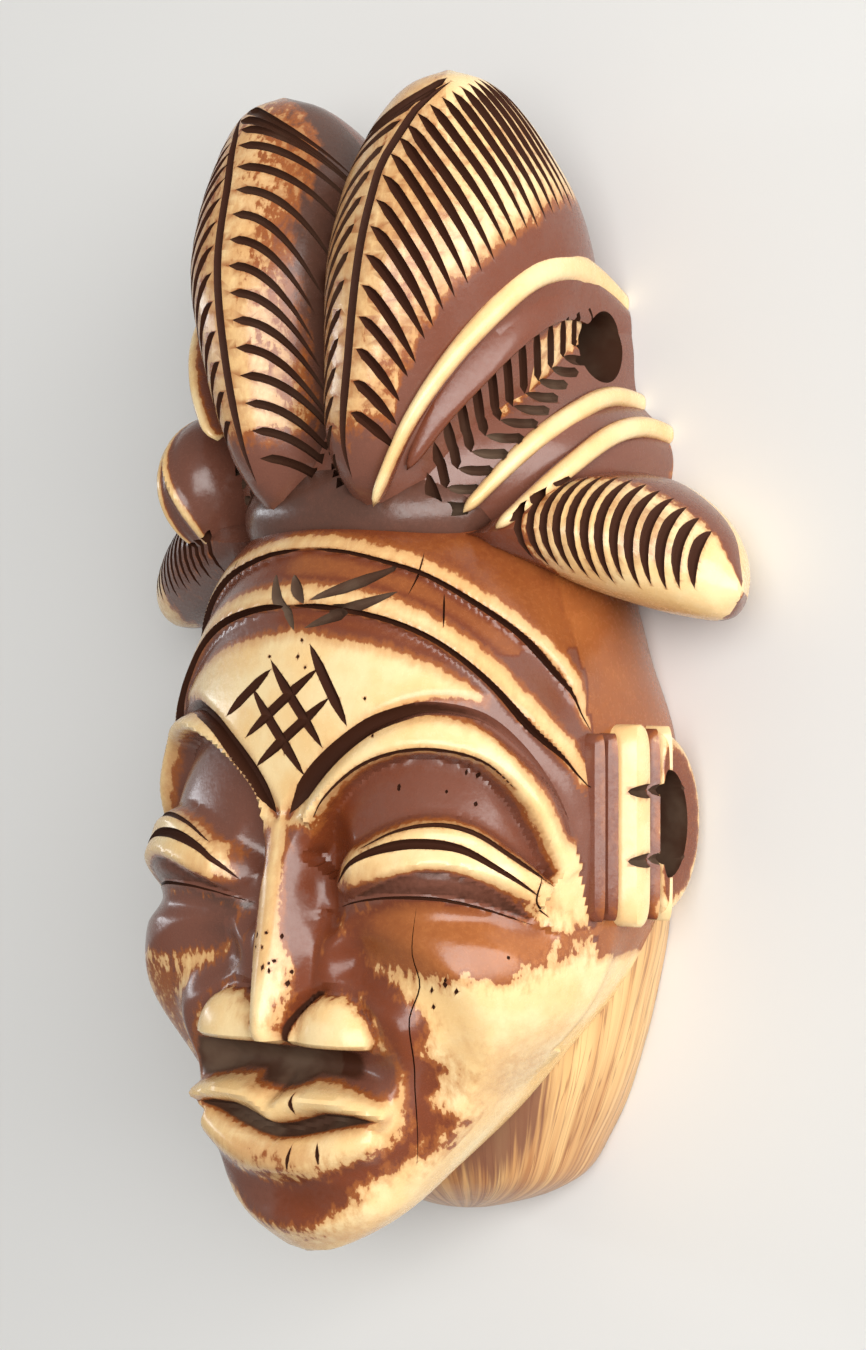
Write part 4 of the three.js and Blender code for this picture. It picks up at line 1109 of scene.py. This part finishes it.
for own, (hand, side) in enumerate(HANDS.items()):
    for name, (points, width, depth, shape) in FACE_CUTS.items():
        leaned = {**shape, "lean": shape.get("lean", 0) * side}
        head_groove(f"{hand}_{name}", own, points, side, width, depth, **leaned)
for i, stroke in enumerate(NET):
    head_groove(f"net_{i}", 2 + i // 3, stroke, 1, 0.95, 0.5, 11, tips=(0.3, 0.3), dark=0.85)
for i, stroke in enumerate(SPRIG):
    head_groove(f"sprig_{i}", 2 + i, stroke, 1, 1.1, 0.6, 11, tips=(0.4, 0.4), dusty=0.8)
for i, stroke in enumerate(LIP_NICKS):
    head_groove(f"lip_nick_{i}", 2, stroke, 1, 0.4, 0.35, 7)
for i, (crack, width) in enumerate(CRACKS):
    head_groove(f"crack_{i}", 7, crack, 1, width, 0.3, 36, tips=(0.3, 0.3), dark=0.85)
pit_draft = np.random.default_rng(11)
for i, (x, y, spread_x, spread_y, many) in enumerate(PITTED):
    for j in range(many):
        at = (x + spread_x * pit_draft.uniform(-1, 1), y + spread_y * pit_draft.uniform(-1, 1))
        end = (at[0] + pit_draft.uniform(-0.1, 0.1), at[1] - pit_draft.uniform(0.25, 0.6))
        head_groove(f"pit_{i}_{j}", 7, [at, end], 1, pit_draft.uniform(0.2, 0.4), 0.25, 5)

# Hole and back. A round hole for a cord is bored from side to side through the back of the hair,
# and the back is sawn flat, so that the mask lies steady.
HOLE_RADIUS = 3.1
HOLE_LEVEL = 27.2
HOLE_HEIGHT = 5.3
BORE_HALF = 24
BACK_BLOCK = 200
BACK_TONES = {"stain": 1.2, "warmth": -0.2}


def bore_place(rise, turn):
    share = np.clip((rise - 0.02) / 0.96, 0, 1)
    r = HOLE_RADIUS * ((rise > 0) & (rise < 1))
    x = BORE_HALF * (2 * share - 1)
    spot = np.stack([x, HOLE_LEVEL + r * np.cos(turn), HOLE_HEIGHT + r * np.sin(turn)], -1)
    return spot, {"stain": 1.5, "warmth": -0.6, "cut": 0.8, "dusty": 0.4}


drawn_out("cord_hole", rounds[7], 44, 72, bore_place)
behind = bmesh.new()
bmesh.ops.create_cube(behind, size=BACK_BLOCK, matrix=Matrix.Translation((0, 0, -BACK_BLOCK / 2)))
bmesh.ops.triangulate(behind, faces=behind.faces)
back_mesh = bpy.data.meshes.new("behind_back")
behind.to_mesh(back_mesh)
behind.free()
for tone in TONES:
    keep_tone(back_mesh, tone, "CORNER", [BACK_TONES.get(tone, 0)] * len(back_mesh.loops))
rounds[7].objects.link(bpy.data.objects.new("behind_back", back_mesh))

# Carving. The real mask is one block, so the forms are joined to one solid. The cuts are then made
# in it round by round.
workbench = bpy.data.collections.new("workbench")
scene.collection.children.link(workbench)
for group in (forms, *rounds):
    workbench.children.link(group)
for piece in forms.objects[1:]:
    joining = head.modifiers.new(piece.name, "BOOLEAN")
    joining.operation = "UNION"
    joining.object = piece
    joining.solver = "MANIFOLD"
for group in rounds:
    cutting = head.modifiers.new(group.name, "BOOLEAN")
    cutting.operation = "DIFFERENCE"
    cutting.operand_type = "COLLECTION"
    cutting.collection = group
    cutting.solver = "MANIFOLD"
carved_mesh = bpy.data.meshes.new_from_object(head.evaluated_get(bpy.context.evaluated_depsgraph_get()))
carved_mesh.name = "mask_carving"
mask = bpy.data.objects.new("mask_carving", carved_mesh)
scene.collection.objects.link(mask)
for group in (forms, *rounds):
    for piece in list(group.objects):
        bpy.data.objects.remove(piece)
    bpy.data.collections.remove(group)
bpy.data.collections.remove(workbench)
carved_mesh.transform(Matrix.Scale(MM, 4))

# Hollows. Stain and dust stay in the hollows and polish wears the ridges bare, so every place is
# given how hollow it is, in millimetres, and how near it is to a cut.
SHARP_ANGLE = math.radians(38)
HOLLOW_RINGS = 5
BESIDE_RINGS = 2
count = len(carved_mesh.vertices)
edges = read_out(carved_mesh.edges, "vertices", 2, np.int32)
links = np.bincount(edges.ravel(), minlength=count)


def spread(values):
    """The mean of each vertex's neighbours."""
    total = np.zeros((count, values.shape[1]))
    for a, b in ((0, 1), (1, 0)):
        for column in range(values.shape[1]):
            total[:, column] += np.bincount(edges[:, a], values[edges[:, b], column], count)
    return total / links[:, None]


place = read_out(carved_mesh.vertices, "co", 3).astype(float)
facing = read_out(carved_mesh.vertex_normals, "vector", 3)
smooth = place
for _ in range(HOLLOW_RINGS):
    smooth = spread(smooth)
hollow = ((smooth - place) * facing).sum(-1) / MM
hollow = (spread(hollow[:, None])[:, 0] + hollow) / 2
keep_tone(carved_mesh, "hollow", "POINT", hollow.astype(np.float32))
corners = read_out(carved_mesh.loops, "vertex_index", 1, np.int32)
cuts = read_out(carved_mesh.attributes["cut"].data, "value", 1)
beside = (np.bincount(corners, cuts, count) / np.maximum(np.bincount(corners, minlength=count), 1))[:, None]
for _ in range(BESIDE_RINGS):
    beside = spread(beside) * 0.5 + beside * 0.5
keep_tone(carved_mesh, "beside", "POINT", beside[:, 0].astype(np.float32))
carved_mesh.shade_smooth()
carved_mesh.set_sharp_from_angle(angle=SHARP_ANGLE)

# Finish. Bone-like stuff rubbed to a high polish: cream where hands wear it, brown where the stain has
# stayed, nearly black with dust in the deep cuts. The far half and the valley between the coils are darkened
# and cooled as painted shade.
CREAM = (0.84, 0.56, 0.25, 1)
PALE_CREAM = (0.88, 0.68, 0.37, 1)
TAN = (0.58, 0.29, 0.11, 1)
TAN_ORANGE = (0.44, 0.15, 0.04, 1)
ORANGE = (0.30, 0.088, 0.022, 1)
RED_BROWN = (0.17, 0.038, 0.012, 1)
PLUM = (0.18, 0.066, 0.042, 1)
UMBER = (0.085, 0.040, 0.028, 1)
DARK = (0.050, 0.017, 0.009, 1)
DUST = (0.16, 0.11, 0.075, 1)
GRAIN_STRETCH = 0.09
NECK_SHADE = {"From Min": -34 * MM, "From Max": -48 * MM, "To Max": 0.22}
polished = bpy.data.materials.new("polished_stained_bone")
polished.use_nodes = True
tree = polished.node_tree
object_place = add_node(tree, "TexCoord", {}).outputs["Object"]


def tone_node(name):
    node = add_node(tree, "Attribute", {})
    node.attribute_name = name
    return node.outputs["Fac"]


def noise(size_mm, detail=3.0, stretch=(1, 1, 1), rough=0.55):
    """Noise with features of a size, drawn out along the axes by stretch."""
    scale = [1 / (size_mm * MM * s) for s in stretch]
    scaled = add_node(tree, "Mapping", {"Vector": object_place, "Scale": scale}).outputs["Vector"]
    inputs = {"Vector": scaled, "Scale": 1, "Detail": detail, "Roughness": rough}
    return add_node(tree, "TexNoise", inputs).outputs["Fac"]


def reckon(operation, *inputs):
    node = add_node(tree, "Math", {})
    node.operation = operation
    plug(tree, node, dict(enumerate(inputs)))
    return node.outputs[0]


def sum_of(a, b, times=1.0):
    return reckon("MULTIPLY_ADD", b, times, a)


def product(a, b):
    return reckon("MULTIPLY", a, b)


def between(value, low, high, out_low=0.0, out_high=1.0):
    """A smooth step from out_low to out_high while the value goes from low to high."""
    inputs = {"Value": value, "From Min": low, "From Max": high, "To Min": out_low, "To Max": out_high}
    node = add_node(tree, "MapRange", inputs)
    node.interpolation_type = "SMOOTHSTEP"
    return node.outputs["Result"]


def blend(share, below, above):
    """The colour below, covered by a share of the colour above."""
    node = add_node(tree, "Mix", {})
    node.data_type = "RGBA"
    a, b = [i for i, socket in enumerate(node.inputs) if socket.type == "RGBA"]
    plug(tree, node, {"Factor": share, a: below, b: above})
    return [socket for socket in node.outputs if socket.type == "RGBA"][0]


stain, warmth, cut, raw, ragged, dusty, grain = [tone_node(tone) for tone in TONES]
hollow_tone = tone_node("hollow")
beside_cut = tone_node("beside")
fine = noise(0.5, 4, rough=0.65)
wide = noise(5.0, 3)
brushed = noise(1.1, 4, (0.6, 1.6, 1), 0.6)
swing = between(brushed, 0.2, 0.8, -1.0, 1.0)
edge = sum_of(sum_of(stain, swing, 0.25), product(swing, ragged), 1.3)
edge = sum_of(sum_of(edge, fine, 0.6), hollow_tone, 1.8)
cream = blend(between(wide, 0.35, 0.7), CREAM, PALE_CREAM)
cream = blend(product(between(edge, -0.9, 0.55), 0.85), cream, TAN)
cream = blend(product(between(sum_of(beside_cut, fine, 0.3), 0.2, 0.75), 0.75), cream, ORANGE)
warm = sum_of(sum_of(warmth, wide, 0.5), fine, 0.35)
# Low warmth gives umber: the stain's own dark, and the painted shade given to the far half and to the valley
# between the coils.
body = blend(between(warm, -0.75, 0.1), UMBER, PLUM)
body = blend(between(warm, 0.25, 0.75), body, RED_BROWN)
body = blend(between(warm, 0.65, 1.15), body, ORANGE)
body = blend(between(warm, 1.05, 1.5), body, TAN_ORANGE)
fringe = blend(between(edge, 0.5, 1.1), ORANGE, body)
colour = blend(between(edge, 0.26, 0.5), cream, fringe)
level = add_node(tree, "SeparateXYZ", {"Vector": object_place}).outputs["Y"]
down_grain = {"X": product(grain, MM), "Y": product(level, GRAIN_STRETCH)}
along_neck = add_node(tree, "CombineXYZ", down_grain).outputs["Vector"]


def grained(size_mm, detail):
    """Noise that runs down the neck with the grain."""
    inputs = {"Vector": along_neck, "Scale": 1 / (size_mm * MM), "Detail": detail}
    return add_node(tree, "TexNoise", inputs).outputs["Fac"]


low_down = add_node(tree, "MapRange", {"Value": level, **NECK_SHADE}).outputs["Result"]
neck_tone = sum_of(grained(3.6, 3), low_down)
neck_colour = blend(between(neck_tone, 0.34, 0.72, 0, 0.85), CREAM, TAN)
streaked = between(sum_of(grained(1.9, 5), low_down), 0.56, 0.8)
neck_colour = blend(product(streaked, 0.6), neck_colour, ORANGE)
thread = grained(2.2, 3)
on_thread = product(between(thread, 0.475, 0.5), between(thread, 0.525, 0.5))
neck_colour = blend(product(on_thread, 0.5), neck_colour, RED_BROWN)
bruised = product(between(sum_of(warmth, grained(1.3, 4), 1.4), 0.85, 1.3), between(warmth, 0.02, 0.2))
neck_colour = blend(product(bruised, 0.85), neck_colour, PLUM)
colour = blend(product(raw, between(edge, 1.2, 0.8)), colour, neck_colour)
# deep also holds the painted shade set as cut in the valley between the tall coils.
deep = sum_of(sum_of(cut, fine, 0.2), hollow_tone, 0.5)
colour = blend(between(deep, 0.45, 0.72), colour, DARK)
grey = product(product(dusty, between(deep, 0.35, 0.9)), between(wide, 0.4, 0.65, 0.25, 0.8))
gloss = sum_of(between(fine, 0.3, 0.7, 0.2, 0.3), between(deep, 0.5, 1.2), 0.4)
tool_marks = sum_of(noise(0.8, 5), grained(1.2, 5), 0.5)
bump = add_node(tree, "Bump", {"Strength": 0.35, "Distance": 0.00008, "Height": tool_marks})
plug(tree, tree.nodes["Principled BSDF"], {
    "Base Color": blend(grey, colour, DUST),
    "IOR": 1.5,
    "Specular IOR Level": between(deep, 0.3, 0.8, 0.5, 0.1),
    "Coat Weight": between(deep, 0.3, 0.8, 0.12, 0.0),
    "Coat Roughness": 0.12,
    "Roughness": sum_of(gloss, raw, 0.1),
    "Normal": bump.outputs["Normal"],
})
carved_mesh.materials.clear()
carved_mesh.materials.append(polished)

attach(mask, "root")
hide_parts("miniature_mask")
print("triangles", sum(len(p.vertices) - 2 for p in carved_mesh.polygons))
